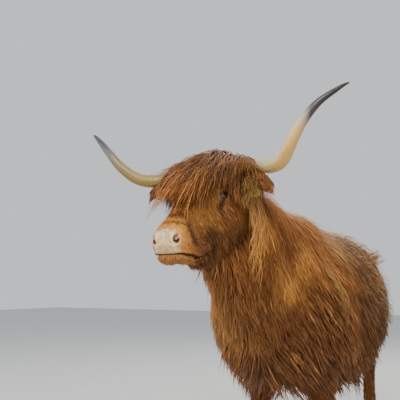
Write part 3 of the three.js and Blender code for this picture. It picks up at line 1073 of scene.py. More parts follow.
def body_marking(body: Array) -> tuple:
    """Darker chest and belly, painted shade low down and over the hind half (partly the coat's own duller
    colour), a painted highlight on the right of the chest, a golden patch on the shoulder, pale crest, spine
    and shoulder ridge.

    Args:
        body: the points in the cow's frame.

    Returns:
        Layers of the marking, each a colour and its share at every point.
    """
    x, y, z = body.T
    side = np.abs(x)
    uneven = 0.022 * mottle(body * (1, 1, 0.5), 0.09, 29)
    patch = capsule(folded(body, 0), *SHOULDER_PATCH)
    behind = ease(-0.16, 0.0, y) * ease(0.1, 0.16, side) * ease(0.92, 0.99, z)
    spine = bell(x - crest_line(y), 0, 0.055) * ease(1.02, 1.07, z) * ease(-0.5, -0.42, y)
    off_spine = np.maximum(ease(0.06, 0.12, side), ease(0.85, 0.95, y))
    udder = ease(0.515, 0.48, z) * ease(0.36, 0.4, z) * bell(y, 0.79, 0.1) * ease(0.135, 0.105, side)
    return (
        (BROWN, 0.55 * (bell(y, -0.36, 0.16) * ease(0.84, 0.68, z))),
        # Darker low down: partly the coat's own colour, partly painted shade where the light from above does
        # not reach.
        (BROWN, 0.58 * ease(0.9, 0.74, z)),
        (BROWN, 0.7 * bell(y, -0.5, 0.1) * bell(z, 0.93, 0.1) * ease(0.1, 0.03, side)),
        (BROWN, 0.5 * bell(y, -0.41, 0.07) * bell(z, 1.01, 0.09) * ease(0.03, 0.06, x)),
        # Painted highlight: a golden rim of light on the right side of the chest.
        (GOLD, 0.95 * bell(x, -0.22, 0.18) * bell(y, -0.36, 0.26) * bell(z, 0.74, 0.18)),
        (BROWN, 0.5 * (ease(0.5, 0.36, z) * ease(0.3, 0.18, side))),
        # Darker over the hind half below the back: partly painted shade.
        (BROWN, 0.4 * ease(-0.05, 0.25, y) * ease(1.05, 0.85, z)),
        (AMBER, 0.9 * ease(0.075, 0.02, patch + uneven)),
        (BLOND, 0.45 * ease(0.032, 0.008, from_parting(body) + 0.4 * uneven)),
        (BLOND, 0.4 * behind * ease(0.45, 0.25, y)),
        (BLOND, 0.5 * spine),
        # Duller and darker over the middle and hind half: partly the coat's own colour, partly painted shade.
        (DUN, 0.78 * ease(-0.15, 0.4, y) * ease(0.45, 0.65, z) * off_spine),
        (PINK, 0.9 * np.sqrt(udder)),
        (ORANGE, 0.35 * (ease(0.45, 0.25, z) * (1 - np.sqrt(udder)))))


def face_marking(side: Array) -> tuple:
    """Brown crown and cheeks, a dark tear stain, painted shadow on the jaw, in the folds over the nose and
    between the lips, orange nose, blond chin and golden nape.

    Args:
        side: the points in the head's frame, folded onto the left.

    Returns:
        Layers of the marking, each a colour and its share at every point.
    """
    x, y, z = side.T
    near = ease(0.16, 0.1, y) * ease(-0.13, -0.03, x) * ease(-0.32, -0.25, z)
    nape_fur = ease(0.1, 0.06, x) * ease(-0.045, -0.01, x) * ease(0.075, 0.095, y)
    bridge = near * ease(0.13, 0.2, x) * ease(0.36, 0.3, x) * ease(-0.17, -0.09, z)
    crown_top = near * ease(0.16, 0.04, x) * ease(-0.14, -0.06, z)
    ear = ease(0.115, 0.135, y) * ease(0.14, 0.1, np.abs(x - 0.04)) * ease(-0.13, -0.09, z)
    nostril = bell(away(side - NOSTRIL_AT, (-0.012, 0, -0.008)), 0.0, 0.045)
    lip = z - mouth_height(x)
    return (
        (AMBER, 0.9 * nape_fur * ease(-0.36, -0.22, z) * ease(-0.055, -0.075, z)),
        (GOLD, 0.8 * bell(away(side, (0.207, 0.078, -0.047)), 0.0, 0.017)),
        (GOLD, 0.4 * bell(away(side, (0.245, 0.075, -0.11)), 0.0, 0.045)),
        (AMBER, 0.5 * bridge),
        (BARK, (0.86 - 0.4 * ease(0.04, -0.03, x)) * crown_top),
        (BROWN, 0.65 * ear),
        (UMBER, 0.9 * ease(0.014, 0.0, tear_line(side)) * near),
        (UMBER, 0.9 * ease(0.0265, 0.0232, away(side, EYE_CENTRE))),
        # Painted shadow on the jaw behind the muzzle.
        (UMBER, 0.7 * (near * bell(x, 0.285, 0.055) * ease(-0.1, -0.145, z))),
        (BROWN, 0.45 * (near * bell(x, 0.14, 0.1) * ease(-0.15, -0.21, z))),
        (ORANGE, 0.9 * (near * ease(0.36, 0.395, x))),
        (PEACH, 0.9 * near * np.maximum(nostril, ease(0.375, 0.395, x) * (z > -0.075))),
        (GOLD, 0.75 * (near * ease(0.34, 0.38, x) * ease(0.002, -0.008, lip))),
        (PEACH, 0.85 * (near * bell(x, 0.362, 0.016) * ease(-0.095, -0.07, z))),
        # Painted shade in the folds over the nose, as deep as each fold.
        (UMBER, 0.55 * ease(0.3, 0.9, fold_depth(side) / FOLD_DEPTH)),
        (DUSK, 0.85 * ease(0.021, 0.004, lip_crease(side) + 0.005 * mottle(side, 0.02, 17))),
        # Painted shadow along the parting of the lips.
        (UMBER, 0.95 * ease(0.006, 0.002, np.abs(lip + 0.001)) * near * ease(0.32, 0.345, x)))


def tear_line(side: Array) -> Array:
    """Distance from the dark stain that runs from the corner of the eye down the cheek."""
    radii = (0.006, 0.007, 0.006)
    return np.min([capsule(side, a, b, r) for a, b, r in zip(TEAR, TEAR[1:], radii)], axis=0)


def nose_marking(side: Array, pad: Array) -> tuple:
    """The bare pad in blotches, with a painted green reflection at its middle and golden below, the nostrils'
    pink rims, and their insides dark, partly their own lining and partly painted shade.

    Args:
        side: the points in the head's frame, folded onto the left.
        pad: how far each point is on the nose pad.

    Returns:
        Layers of the marking, each a colour and its share at every point.
    """
    _, y, z = side.T
    blotch = mottle(side, 0.018, 19)
    leather = laid(
        PAD * (1 + blotch[:, None] * (0.2, 0.19, 0.26)),
        # A painted green reflection on the middle of the wet pad.
        (REFLECTED_GREEN, 0.6 * (ease(0.1, 0.9, mottle(side, 0.03, 37)) * ease(0.035, 0.015, y))),
        (GOLD, 0.5 * ease(-0.078, -0.112, z) + 0.25 * ease(0.0, 1, -blotch)))
    from_nostril = np.linalg.norm((side - NOSTRIL_AT) * (1, 1, 0.75), axis=1)
    return (
        (leather, pad),
        (RIM, 0.8 * (bell(from_nostril, 0.0155, 0.0035) * ease(0.062, 0.05, y))),
        (ORANGE * 0.55, 0.9 * ease(0.013, 0.01, from_nostril)),
        # Dark inside the nostril: partly its own dark lining, partly painted shade in the hollow.
        (UMBER, ease(0.012, 0.008, from_nostril)))


# How far the bare pad reaches to each side at heights in the head's frame: less beside the nostril.
PAD_EDGE = ((-0.125, 0.058), (-0.115, 0.055), (-0.098, 0.047), (-0.088, 0.039), (-0.074, 0.034),
            (-0.06, 0.036), (-0.048, 0.041))


def pad_mask(head: Array) -> Array:
    """How far points are on the bare nose pad.

    Args:
        head: the points in the head's frame.

    Returns:
        1 on the pad, 0 away from it, for each point.
    """
    x, y, z = folded(head).T
    uneven = 2.6 * MM * mottle(head, 0.016, 23)
    edge = np.array(PAD_EDGE)
    top = ease(0.4035, 0.41, x - 3 * y**2 + uneven)
    low = ease(-0.1215, -0.1165, z - 0.2 * uneven)
    side = ease(0.004, -0.004, y - np.interp(z, edge[:, 0], edge[:, 1]) + uneven)
    return top * low * side


# ---- the coat
# The bake is a square of tiles, one for each part of the body; each lock takes a small patch of its tile.
BAKE_TILES = 4
BAKE_PATCH = 0.003


@dataclass(frozen=True)
class Hair:
    """How the hair of one region grows; lengths in metres.

    Attributes:
        count: locks.
        rings: sections along a lock.
        width: half width of a lock.
        rise: how steeply it leaves the skin, 0 flat to 1 straight out.
        depth: how high over the skin the outermost locks lie.
        fall: pull of the lock's own weight against the lie of the coat.
        swing: how far the waves go to either side.
        wave: length of one wave.
        gather: size of the patch whose tips draw together.
        clump: by how much they do, 0 to 1.
        contrast: how much lighter or darker one lock is than the next.
        sample: where along a lock the coat's marking is read, 0 at its root.
        pale: how far the locks are bleached from the coat's own colour.
    """

    count: int
    rings: int
    width: float
    rise: float
    depth: float
    fall: float
    swing: float
    wave: float
    gather: float
    clump: float
    contrast: float = 0.18
    sample: float = 0.5
    pale: float = 0.0


def hashed(cells: Array) -> Array:
    """A number from 0 to 1 for each row of whole numbers, the same each time."""
    mix = (cells.astype(np.int64) * np.array([73856093, 19349663, 83492791])).sum(axis=1)
    return np.modf(np.abs(np.sin(mix % 100003 * 12.9898) * 43758.5453))[0]


@dataclass
class Locks:
    """Paths of locks of hair, and what each one carries: width, tone, colour and its place on the bake."""

    paths: Array
    normals: Array
    width: Array
    tint: Array
    bake: Array
    seed: Array

    def part(self, chosen: Array) -> "Locks":
        """The chosen locks alone."""
        return Locks(*(getattr(self, kept.name)[chosen] for kept in fields(self)))

    def mesh(self, name: str, flat: float = 0.55) -> Object:
        """Draws every lock as a closed three-sided tube that swells from its root and runs to a point.

        Each section is a triangle: one corner over the path and two at its sides, at the half width
        times a swell of min(0.5 + 2.2 t, 1) times 1 - t^2.4, and flat times that in height.

        Args:
            name: of the object.
            flat: height of a section over its half width.

        Returns:
            The object, with its colours and maps.
        """
        n, rings, _ = self.paths.shape
        t = np.linspace(0, 1, rings)
        swell = np.minimum(0.5 + 2.2 * t, 1.0) * (1 - t**2.4)
        ways = unit(np.gradient(self.paths, axis=1))
        out = unit(self.normals - ways * np.sum(self.normals * ways, axis=2, keepdims=True))
        side = np.cross(ways, out)
        body = slice(0, rings - 1)
        size = (self.width[:, None] * swell[None, body])[..., None]
        ring = [
            self.paths[:, body] + size * (math.cos(a) * side[:, body] + flat * math.sin(a) * out[:, body])
            for a in (math.pi / 2, math.pi * 7 / 6, math.pi * 11 / 6)]
        tube = np.stack(ring, axis=2).reshape(n, -1, 3)
        points = np.concatenate([tube, self.paths[:, -1:]], axis=1)
        per = points.shape[1]
        walls = [
            [3 * k + a, 3 * k + (a + 1) % 3, 3 * k + 3 + (a + 1) % 3, 3 * k + 3 + a]
            for k, a in product(range(rings - 2), range(3))]
        last = 3 * (rings - 2)
        ends = [[last + a, last + (a + 1) % 3, per - 1] for a in range(3)] + [[0, 2, 1]]
        first = (np.arange(n) * per)[:, None, None]
        quads = (first + np.array(walls)).reshape(-1, 4)
        tris = (first + np.array(ends)).reshape(-1, 3)
        along = np.append(np.repeat(t[body], 3), 1.0)
        return self.dressed(object_from(name, points.reshape(-1, 3), quads, tris), along)

    def dressed(self, obj: Object, along: Array) -> Object:
        """Gives the locks' mesh its colours, its places on the bake and a map that runs along each lock.

        Args:
            obj: the mesh's object.
            along: how far along its lock each point lies, for one lock.

        Returns:
            The object.
        """
        n, per = len(self.width), len(along)
        paint(obj, "tint", self.shade(along).reshape(-1, 3))
        corner = np.array([0.0, 0.5, 1.0])[np.arange(per) % 3]
        patch = np.tile(columns(corner, along), (n, 1, 1))
        lay_out(obj, "OFBake", (self.bake[:, None, :] + BAKE_PATCH * patch).reshape(-1, 2))
        strand = columns(self.seed[:, None] * 40 + patch[..., 0], patch[..., 1] * 8)
        lay_out(obj, "strand", strand.reshape(-1, 2))
        return obj

    def shade(self, along: Array) -> Array:
        """Each lock's colour along it: darker at the root, paler and more golden to the tip."""
        depth = 0.76 + 0.3 * ease(0.0, 0.75, along)
        base = self.tint[:, None, :] * depth[None, :, None]
        pale = ease(0.35, 1.0, along)[None, :, None] * (0.1 + 0.3 * self.seed[:, None, None])
        return base * (1 - pale) + (base * (1.55, 1.36, 1.00)) * pale


@dataclass
class Coat:
    """Grows locks on the skin, region by region.

    Attributes:
        form: the flesh.
        room: its distance on a grid.
        skin: the object that the locks grow from.
        seed: starts the random draws.
        root_depth: how far under the skin a lock starts, in millimetres.
        length_spread: how unequal the locks' lengths are.
        width_spread: how unequal their widths are.
        way_spread: how far each one's first direction strays from the lie.
        drift: how far it strays on its way.
        golden: share of locks with a golden tone.
        eye_gap: how near a lock may pass to the line of sight, in metres.
        strays: share of locks that may pass nearer.
    """

    form: Form
    room: Field
    skin: Object
    seed: int = 7
    root_depth: float = 3.0
    length_spread: float = 0.20
    width_spread: float = 0.38
    way_spread: float = 0.16
    drift: float = 0.20
    golden: float = 0.12
    eye_gap: float = 0.0128
    strays: float = 0.02

    def __post_init__(self) -> None:
        """Reads the skin's triangles, and for each its area, middle and the part of the body it is on."""
        mesh = self.skin.data
        mesh.calc_loop_triangles()
        corners = np.empty(len(mesh.loop_triangles) * 3, np.int32)
        mesh.loop_triangles.foreach_get("vertices", corners)
        self.corners = mesh_points(mesh)[corners.reshape(-1, 3)]
        a, b, c = self.corners[:, 0], self.corners[:, 1], self.corners[:, 2]
        cross = np.cross(b - a, c - a)
        self.area = np.linalg.norm(cross, axis=1) / 2
        self.middle = (a + b + c) / 3
        self.facing = unit(cross)
        near = np.array([loft.distance(self.middle) for loft in self.form.lofts.values()])
        self.part = np.array(list(self.form.lofts))[np.argmin(near, axis=0)]
        self.rng = np.random.default_rng(self.seed)

    def roots(self, density: Array, count: int) -> tuple[Array, Array, Array]:
        """Random places on the skin, likelier where the density is higher.

        Args:
            density: one weight for each triangle.
            count: how many.

        Returns:
            The places, the unit normals there and each one's triangle.
        """
        chance = self.area * density
        pick = self.rng.choice(len(chance), size=count, p=chance / chance.sum())
        u, v = self.rng.random((2, count))
        over = u + v > 1
        u, v = np.where(over, 1 - u, u), np.where(over, 1 - v, v)
        a, b, c = (self.corners[pick, k] for k in range(3))
        places = a + u[:, None] * (b - a) + v[:, None] * (c - a)
        return places, self.facing[pick], pick

    def grow(self, hair: Hair, density: Array, lie: Rule, length: Rule) -> Locks:
        """Grows the locks of a region.

        Args:
            hair: how they grow.
            density: one weight for each triangle of the skin.
            lie: a function from points to the direction in which the coat lies there.
            length: a function from roots to the locks' mean lengths.

        Returns:
            The locks, but for those that hang before an eye.
        """
        rng = self.rng
        roots, normals, pick = self.roots(density, hair.count)
        n, rings = hair.count, hair.rings
        reach = length(roots) * np.exp(rng.normal(0, self.length_spread, n))
        depth = hair.depth * np.sqrt(rng.random(n)) * np.clip(reach / reach.mean(), 0.4, 1.2)
        way = unit(lie(roots) + self.way_spread * rng.normal(size=(n, 3)))
        way = unit(way - normals * np.sum(way * normals, axis=1)[:, None])
        way = unit(way * (1 - hair.rise) + normals * hair.rise)
        spot = roots - normals * self.root_depth * MM
        path, outward = [spot], [normals]
        step = (reach / (rings - 1))[:, None]
        bias = self.drift * rng.normal(size=(n, 3))
        for k in range(1, rings):
            s = k / (rings - 1)
            _, out = self.room.read(spot)
            flow = unit(lie(spot) + bias)
            weight = hair.fall * (0.35 + 0.65 * s)
            want = flow * (1 - weight) + np.array([0, 0, -1.0]) * weight
            into = np.minimum(np.sum(want * out, axis=1), 0)[:, None]
            want = unit(want - out * into)
            way = unit(way * 0.45 + want * 0.55)
            spot = spot + way * step
            height, out = self.room.read(spot)
            over = depth * ease(0, 0.3, s)
            lift = np.maximum(over - height, 0) * 0.8 - np.maximum(height - hair.depth * 1.15, 0) * 0.35
            spot = spot + out * np.maximum(lift, -0.4 * step[:, 0])[:, None]
            path.append(spot)
            outward.append(out)
        paths, outs = np.stack(path, axis=1), np.stack(outward, axis=1)
        for _ in range(2):
            paths[:, 1:-1] = 0.5 * paths[:, 1:-1] + 0.25 * (paths[:, :-2] + paths[:, 2:])
        cells = np.floor((roots + 0.35 * hair.gather * self.wander(roots)) / hair.gather).astype(int)
        paths = self.waved(paths, outs, hair, cells, reach)
        paths = self.gathered(paths, hair, cells)
        paths = self.held_off(paths)
        tone = np.exp(hair.contrast * (rng.normal(size=n) + 2.2 * (hashed(cells) - 0.5)))
        tint = marking(paths[:, round(hair.sample * (rings - 1))])
        tint = mixed(tint, BLOND, np.full(n, hair.pale)) * tone[:, None]
        golden = (rng.random(n) < self.golden)[:, None]
        tint = np.where(golden, tint * 0.5 + GOLD * 0.5, tint)
        width = hair.width * np.exp(rng.normal(0, self.width_spread, n))
        locks = Locks(paths, outs, width, np.clip(tint, 0, 0.85), self.bake_place(roots, pick), rng.random(n))
        return locks.part(self.clear_of_eyes(paths) | (rng.random(n) < self.strays))

    def clear_of_eyes(self, paths: Array) -> Array:
        """Which locks keep out of the line of sight of each eye."""
        n, rings, _ = paths.shape
        head = folded(HEAD.local(paths.reshape(-1, 3)))
        ahead = unit(EYE_OUT + (0.75, -0.1, -0.1))
        gap = capsule(head, EYE_CENTRE, EYE_CENTRE + 0.1 * ahead).reshape(n, rings)
        return gap.min(axis=1) > self.eye_gap

    @staticmethod
    def wander(points: Array) -> Array:
        """Soft uneven shifts along the three axes, so that gathered patches have no straight edges."""
        return columns(*(mottle(points, 0.09, seed) for seed in (11, 12, 13)))

    def waved(self, paths: Array, outs: Array, hair: Hair, cells: Array, reach: Array) -> Array:
        """Adds waves: sideways by swing times sine of the length over the wave, growing from the root.

        Args:
            paths: the locks' paths.
            outs: the directions out of the skin along them.
            hair: how they grow.
            cells: the patch that each lock is in, which sets where its wave begins.
            reach: the locks' lengths.

        Returns:
            The waved paths.
        """
        n, rings, _ = paths.shape
        t = np.linspace(0, 1, rings)
        ways = unit(np.gradient(paths, axis=1))
        side = unit(np.cross(ways, outs))
        phase = hashed(cells) * 6.3 + self.rng.normal(0, 0.5, n)
        turn = 2 * math.pi * reach[:, None] * t / (hair.wave * np.exp(self.rng.normal(0, 0.15, n)))[:, None]
        swing = hair.swing * np.exp(self.rng.normal(0, 0.3, n))[:, None] * ease(0.05, 0.6, t)
        angle = turn + phase[:, None]
        paths = paths + (swing * np.sin(angle))[..., None] * side
        return paths + (0.5 * swing * np.cos(angle))[..., None] * outs

    def gathered(self, paths: Array, hair: Hair, cells: Array) -> Array:
        """Draws the locks of each patch towards their mean path, more and more to the tip.

        Args:
            paths: the locks' paths.
            hair: how they grow.
            cells: the patch that each lock is in.

        Returns:
            The gathered paths.
        """
        _, group = np.unique(cells, axis=0, return_inverse=True)
        group = group.ravel()
        count = np.bincount(group).astype(float)
        rings = paths.shape[1]
        mean = np.empty((len(count), rings, 3))
        for k, axis in product(range(rings), range(3)):
            mean[:, k, axis] = np.bincount(group, paths[:, k, axis]) / count
        share = hair.clump * ease(0.1, 1.0, np.linspace(0, 1, rings))
        pull = share[None, :] * self.rng.uniform(0.4, 1.2, len(paths))[:, None]
        return paths + np.clip(pull, 0, 0.95)[..., None] * (mean[group] - paths)

    def held_off(self, paths: Array) -> Array:
        """Lifts what would pass through the skin back over it, and over the floor.

        Args:
            paths: the locks' paths.

        Returns:
            The lifted paths.
        """
        n, rings, _ = paths.shape
        free = paths[:, 1:].reshape(-1, 3)
        height, out = self.room.read(free)
        least = np.tile(2.5 * MM + 3 * MM * np.linspace(0, 1, rings - 1), n)
        free = free + out * np.maximum(least - height, 0)[:, None]
        free[:, 2] = np.maximum(free[:, 2], 12 * MM)
        return np.concatenate([paths[:, :1], free.reshape(n, rings - 1, 3)], axis=1)

    def bake_place(self, roots: Array, pick: Array) -> Array:
        """Each root's place on the bake: an unwrap of its part of the body, in that part's own tile.

        Args:
            roots: their places on the skin.
            pick: the triangle of each.

        Returns:
            The places on the bake, (n, 2).
        """
        out = np.zeros((len(roots), 2))
        for number, (name, loft) in enumerate(self.form.lofts.items()):
            mine = np.flatnonzero(self.part[pick] == name)
            row, column = divmod(number, BAKE_TILES)
            out[mine] = (np.array([column, row]) + 0.02 + 0.95 * loft.unwrap(roots[mine])) / BAKE_TILES
        return np.clip(out, 0, 1 - 0.004)


def steady(*way: float) -> Rule:
    """A lie that is the same everywhere."""
    return lambda points: columns(*way)


def fanned(out: float, back: float, up: float, shift: float = 0.0, soft: float = 0.03) -> Rule:
    """A lie that parts to both sides of the cow, turning softly at a line along its middle.

    Args:
        out: how far it runs out to each side.
        back: how far it runs back.
        up: how far it runs up.
        shift: how much further right the line is than on the trunk.
        soft: half the width in which it turns.

    Returns:
        A function from points to directions.
    """
    def lie(points: Array) -> Array:
        """The direction at each point."""
        side = np.tanh((BODY.local(points + (shift, 0, 0))[:, 0] + 12 * MM) / soft)
        return columns(out * side, back, up)
    return lie


def face_lie(points: Array) -> Array:
    """Down the bridge of the nose towards the muzzle, and over the sides down the cheeks."""
    x, y, z = HEAD.local(points).T
    side = ease(0.03, 0.075, np.abs(y))
    under = ease(-0.004, -0.018, z - mouth_height(x))
    back = ease(0.35, 0.39, x)
    over = mixed(columns(1.0, 9 * y, 0.0), columns(0.12, 0.3 * np.sign(y), -1.0), side)
    return HEAD.turn(unit(mixed(over, columns(-0.4 - 0.9 * back, 0.0, -1.0 + 0.5 * back), under)))


def forelock_lie(points: Array) -> Array:
    """Forward over the brow, parting to both sides."""
    x, y, _ = HEAD.local(points).T
    spread = 2.3 + 2.6 * (y < 0) * ease(0.14, 0.05, x)
    return HEAD.turn(unit(columns(1.0, spread * y, 0.1)))


def temple_lie(points: Array) -> Array:
    """Forward from the root of the ear and out."""
    side = np.sign(HEAD.local(points)[:, 1])
    return HEAD.turn(unit(columns(0.8, 0.8 * side, 0.1)))


def ear_lie(points: Array) -> Array:
    """Out along the ear and down."""
    side = HEAD.local(points)[:, 1] > 0
    return unit(HEAD.turn(columns(0.12, np.where(side, 1.0, -1.0), -0.25)) + (0, 0, -0.35))


# ---- where each kind of hair grows
@dataclass
class Ground:
    """The skin's triangles as the coat sees them.

    Attributes:
        part: the name of the loft that each is on.
        body: their middles in the cow's frame.
        head: their middles in the head's frame, the right half folded onto the left.
        pad: how far each is on the bare nose.
    """

    part: Array
    body: Array
    head: Array
    pad: Array

    def on(self, *names: str) -> Array:
        """1 on the parts whose names start with one of these."""
        return np.array([any(str(p).startswith(name) for name in names) for p in self.part], float)


def crown(g: Ground) -> Array:
    """The top of the head between the horns, where the forelock grows."""
    x, y, z = g.head.T
    top = (x > -0.1) & (x < 0.075) & (z > -0.075) & (y < 0.07 + 0.35 * np.clip(x, -0.03, 0.05))
    return g.on("skull", "neck") * top


def barrel(g: Ground) -> Array:
    """The trunk and the tops of the legs."""
    return np.maximum(g.on("trunk"), g.on("leg") * (g.body[:, 2] > 0.60))


def throat_and_mane(g: Ground) -> Array:
    """The neck, without the crown."""
    return g.on("neck") * (1 - crown(g))


def nape(g: Ground) -> Array:
    """Under the root of the ear, where long golden strands hang over the corner of the jaw."""
    x, y, z = g.head.T
    return bell(x, 0.01, 0.04) * ((y > 0.085) & (z < -0.06) & (z > -0.15)) * g.on("neck", "skull")


def rump(g: Ground) -> Array:
    """The haunches and the hind flank."""
    _, y, z = g.body.T
    return barrel(g) * ease(0.15, 0.6, y) * ease(0.55, 0.75, z)


HIP_BONE = (0.205, 0.74, 0.965)


def hip(g: Ground) -> Array:
    """A small patch over each hip bone, where a tuft stands out of the coat."""
    return barrel(g) * (away(folded(g.body, 0), HIP_BONE) < 0.04)


def parting(g: Ground) -> Array:
    """Along the line that parts the hair of the neck from that of the barrel."""
    return np.maximum(barrel(g), g.on("neck")) * ease(0.03, 0.01, from_parting(g.body))


def crest(g: Ground) -> Array:
    """The top of the neck and the spine."""
    x, y, z = g.body.T
    ridge = ease(0.07, 0.03, np.abs(x - crest_line(y)))
    return g.on("neck", "trunk") * ridge * (z > 1.02) * (y > -0.48) * (1.3 - ease(-0.1, 0.3, y))


def shanks(g: Ground) -> Array:
    """The legs below the belly line, thicker to the feet."""
    return g.on("leg") * (g.body[:, 2] <= 0.62) * (1.2 - 0.5 * ease(0.2, 0.5, g.body[:, 2]))


def cheeks(g: Ground) -> Array:
    """The face, but for the crown, the nose pad and the opening of the eyes."""
    clear = away(g.head, EYE_CENTRE) > 0.0238
    fine = (1 + 0.6 * ease(0.24, 0.3, g.head[:, 0])) * (1 - stubble(g))
    return g.on("skull") * (1 - crown(g)) * clear * fine


def stubble(g: Ground) -> Array:
    """The bridge of the nose and the lips."""
    x, _, z = g.head.T
    bridge = ease(0.315, 0.335, x) * ease(-0.1, -0.075, z)
    return g.on("skull") * np.maximum(bridge, ease(0.35, 0.372, x))


def muzzle(g: Ground) -> Array:
    """Where the finest hair grows: not on the pad, in the nostrils or between the lips."""
    x, _, z = g.head.T
    parted = (np.abs(z - mouth_height(x)) > 0.004) | (x < 0.345)
    nostril_clear = away(g.head, NOSTRIL_AT) > 0.0165
    return stubble(g) * parted * nostril_clear * (g.pad < 0.1)


def chin(g: Ground) -> Array:
    """The lower lip, the chin and the underside of the jaw."""
    x, _, z = g.head.T
    return g.on("skull") * (x > 0.25) * (z - mouth_height(x) < -0.014) * (0.3 + 2.7 * ease(0.42, 0.36, x))


def lobes(g: Ground) -> Array:
    """Both ears."""
    return g.on("ear")


def temple(g: Ground) -> Array:
    """The front of the root of the ear."""
    return within(g.head, (0.01, 0.1, -0.09), (0.09, 0.165, 0.0)) * g.on("ear", "skull")


def dock(g: Ground) -> Array:
    """The upper tail."""
    return g.on("tail") * (g.body[:, 2] > 0.60)


def brush(g: Ground) -> Array:
    """The end of the tail."""
    return g.on("tail") * (g.body[:, 2] < 0.66)


def trunk_length(points: Array) -> Array:
    """Longer to the belly and over the shoulder."""
    _, y, z = BODY.local(points).T
    return 0.095 + 0.06 * ease(0.75, 0.42, z) + 0.035 * ease(0.15, -0.3, y)


def graded(frame: Place, axis: int, start: float, end: float, first: float, more: float) -> Rule:
    """A length that changes softly along an axis of a frame.

    Args:
        frame: the cow's or the head's.
        axis: 0, 1 or 2.
        start: where the change begins.
        end: where it ends.
        first: the length before it, in metres.
        more: what the change adds.

    Returns:
        A function from points to lengths.
    """
    return lambda points: first + more * ease(start, end, frame.local(points)[:, axis])


def face_length(points: Array) -> Array:
    """Shortest at the muzzle and round the eyes, longer on the forehead and before the ears."""
    head = folded(HEAD.local(points))
    x, y, z = head.T
    length = 0.0055 + 0.046 * ease(0.37, 0.22, x) + 0.022 * ease(-0.17, -0.2, z)
    length += 0.045 * bell(x, 0.02, 0.06) * ease(0.06, 0.09, y)
    return length * (0.24 + 0.76 * ease(0.024, 0.055, away(head, EYE_CENTRE)))


def forelock_length(points: Array) -> Array:
    """Longest down the middle of the face, and cut short over the eyes."""
    return 0.262 - 0.125 * ease(0.028, 0.068, np.abs(HEAD.local(points)[:, 1]))


def even(length: float) -> Rule:
    """A function that gives the same length everywhere."""
    return lambda points: np.full(len(points), length)


@dataclass(frozen=True)
class Region:
    """One piece of the coat.

    Attributes:
        name: of the piece; the two halves of a split piece add _left and _right.
        hair: what grows there.
        where: how thickly it grows on each triangle of the skin.
        lie: the direction in which it lies.
        length: how long it is.
        flat: height of a lock over its half width.
        stands_for: CAD nodes that the piece replaces.
        slot: the record's material slot.
        split: whether it is made as two halves.
    """

    name: str
    hair: Hair
    where: Callable[[Ground], Array]
    lie: Rule
    length: Rule
    flat: float = 0.5
    stands_for: tuple = ()
    slot: str = "coat"
    split: bool = False


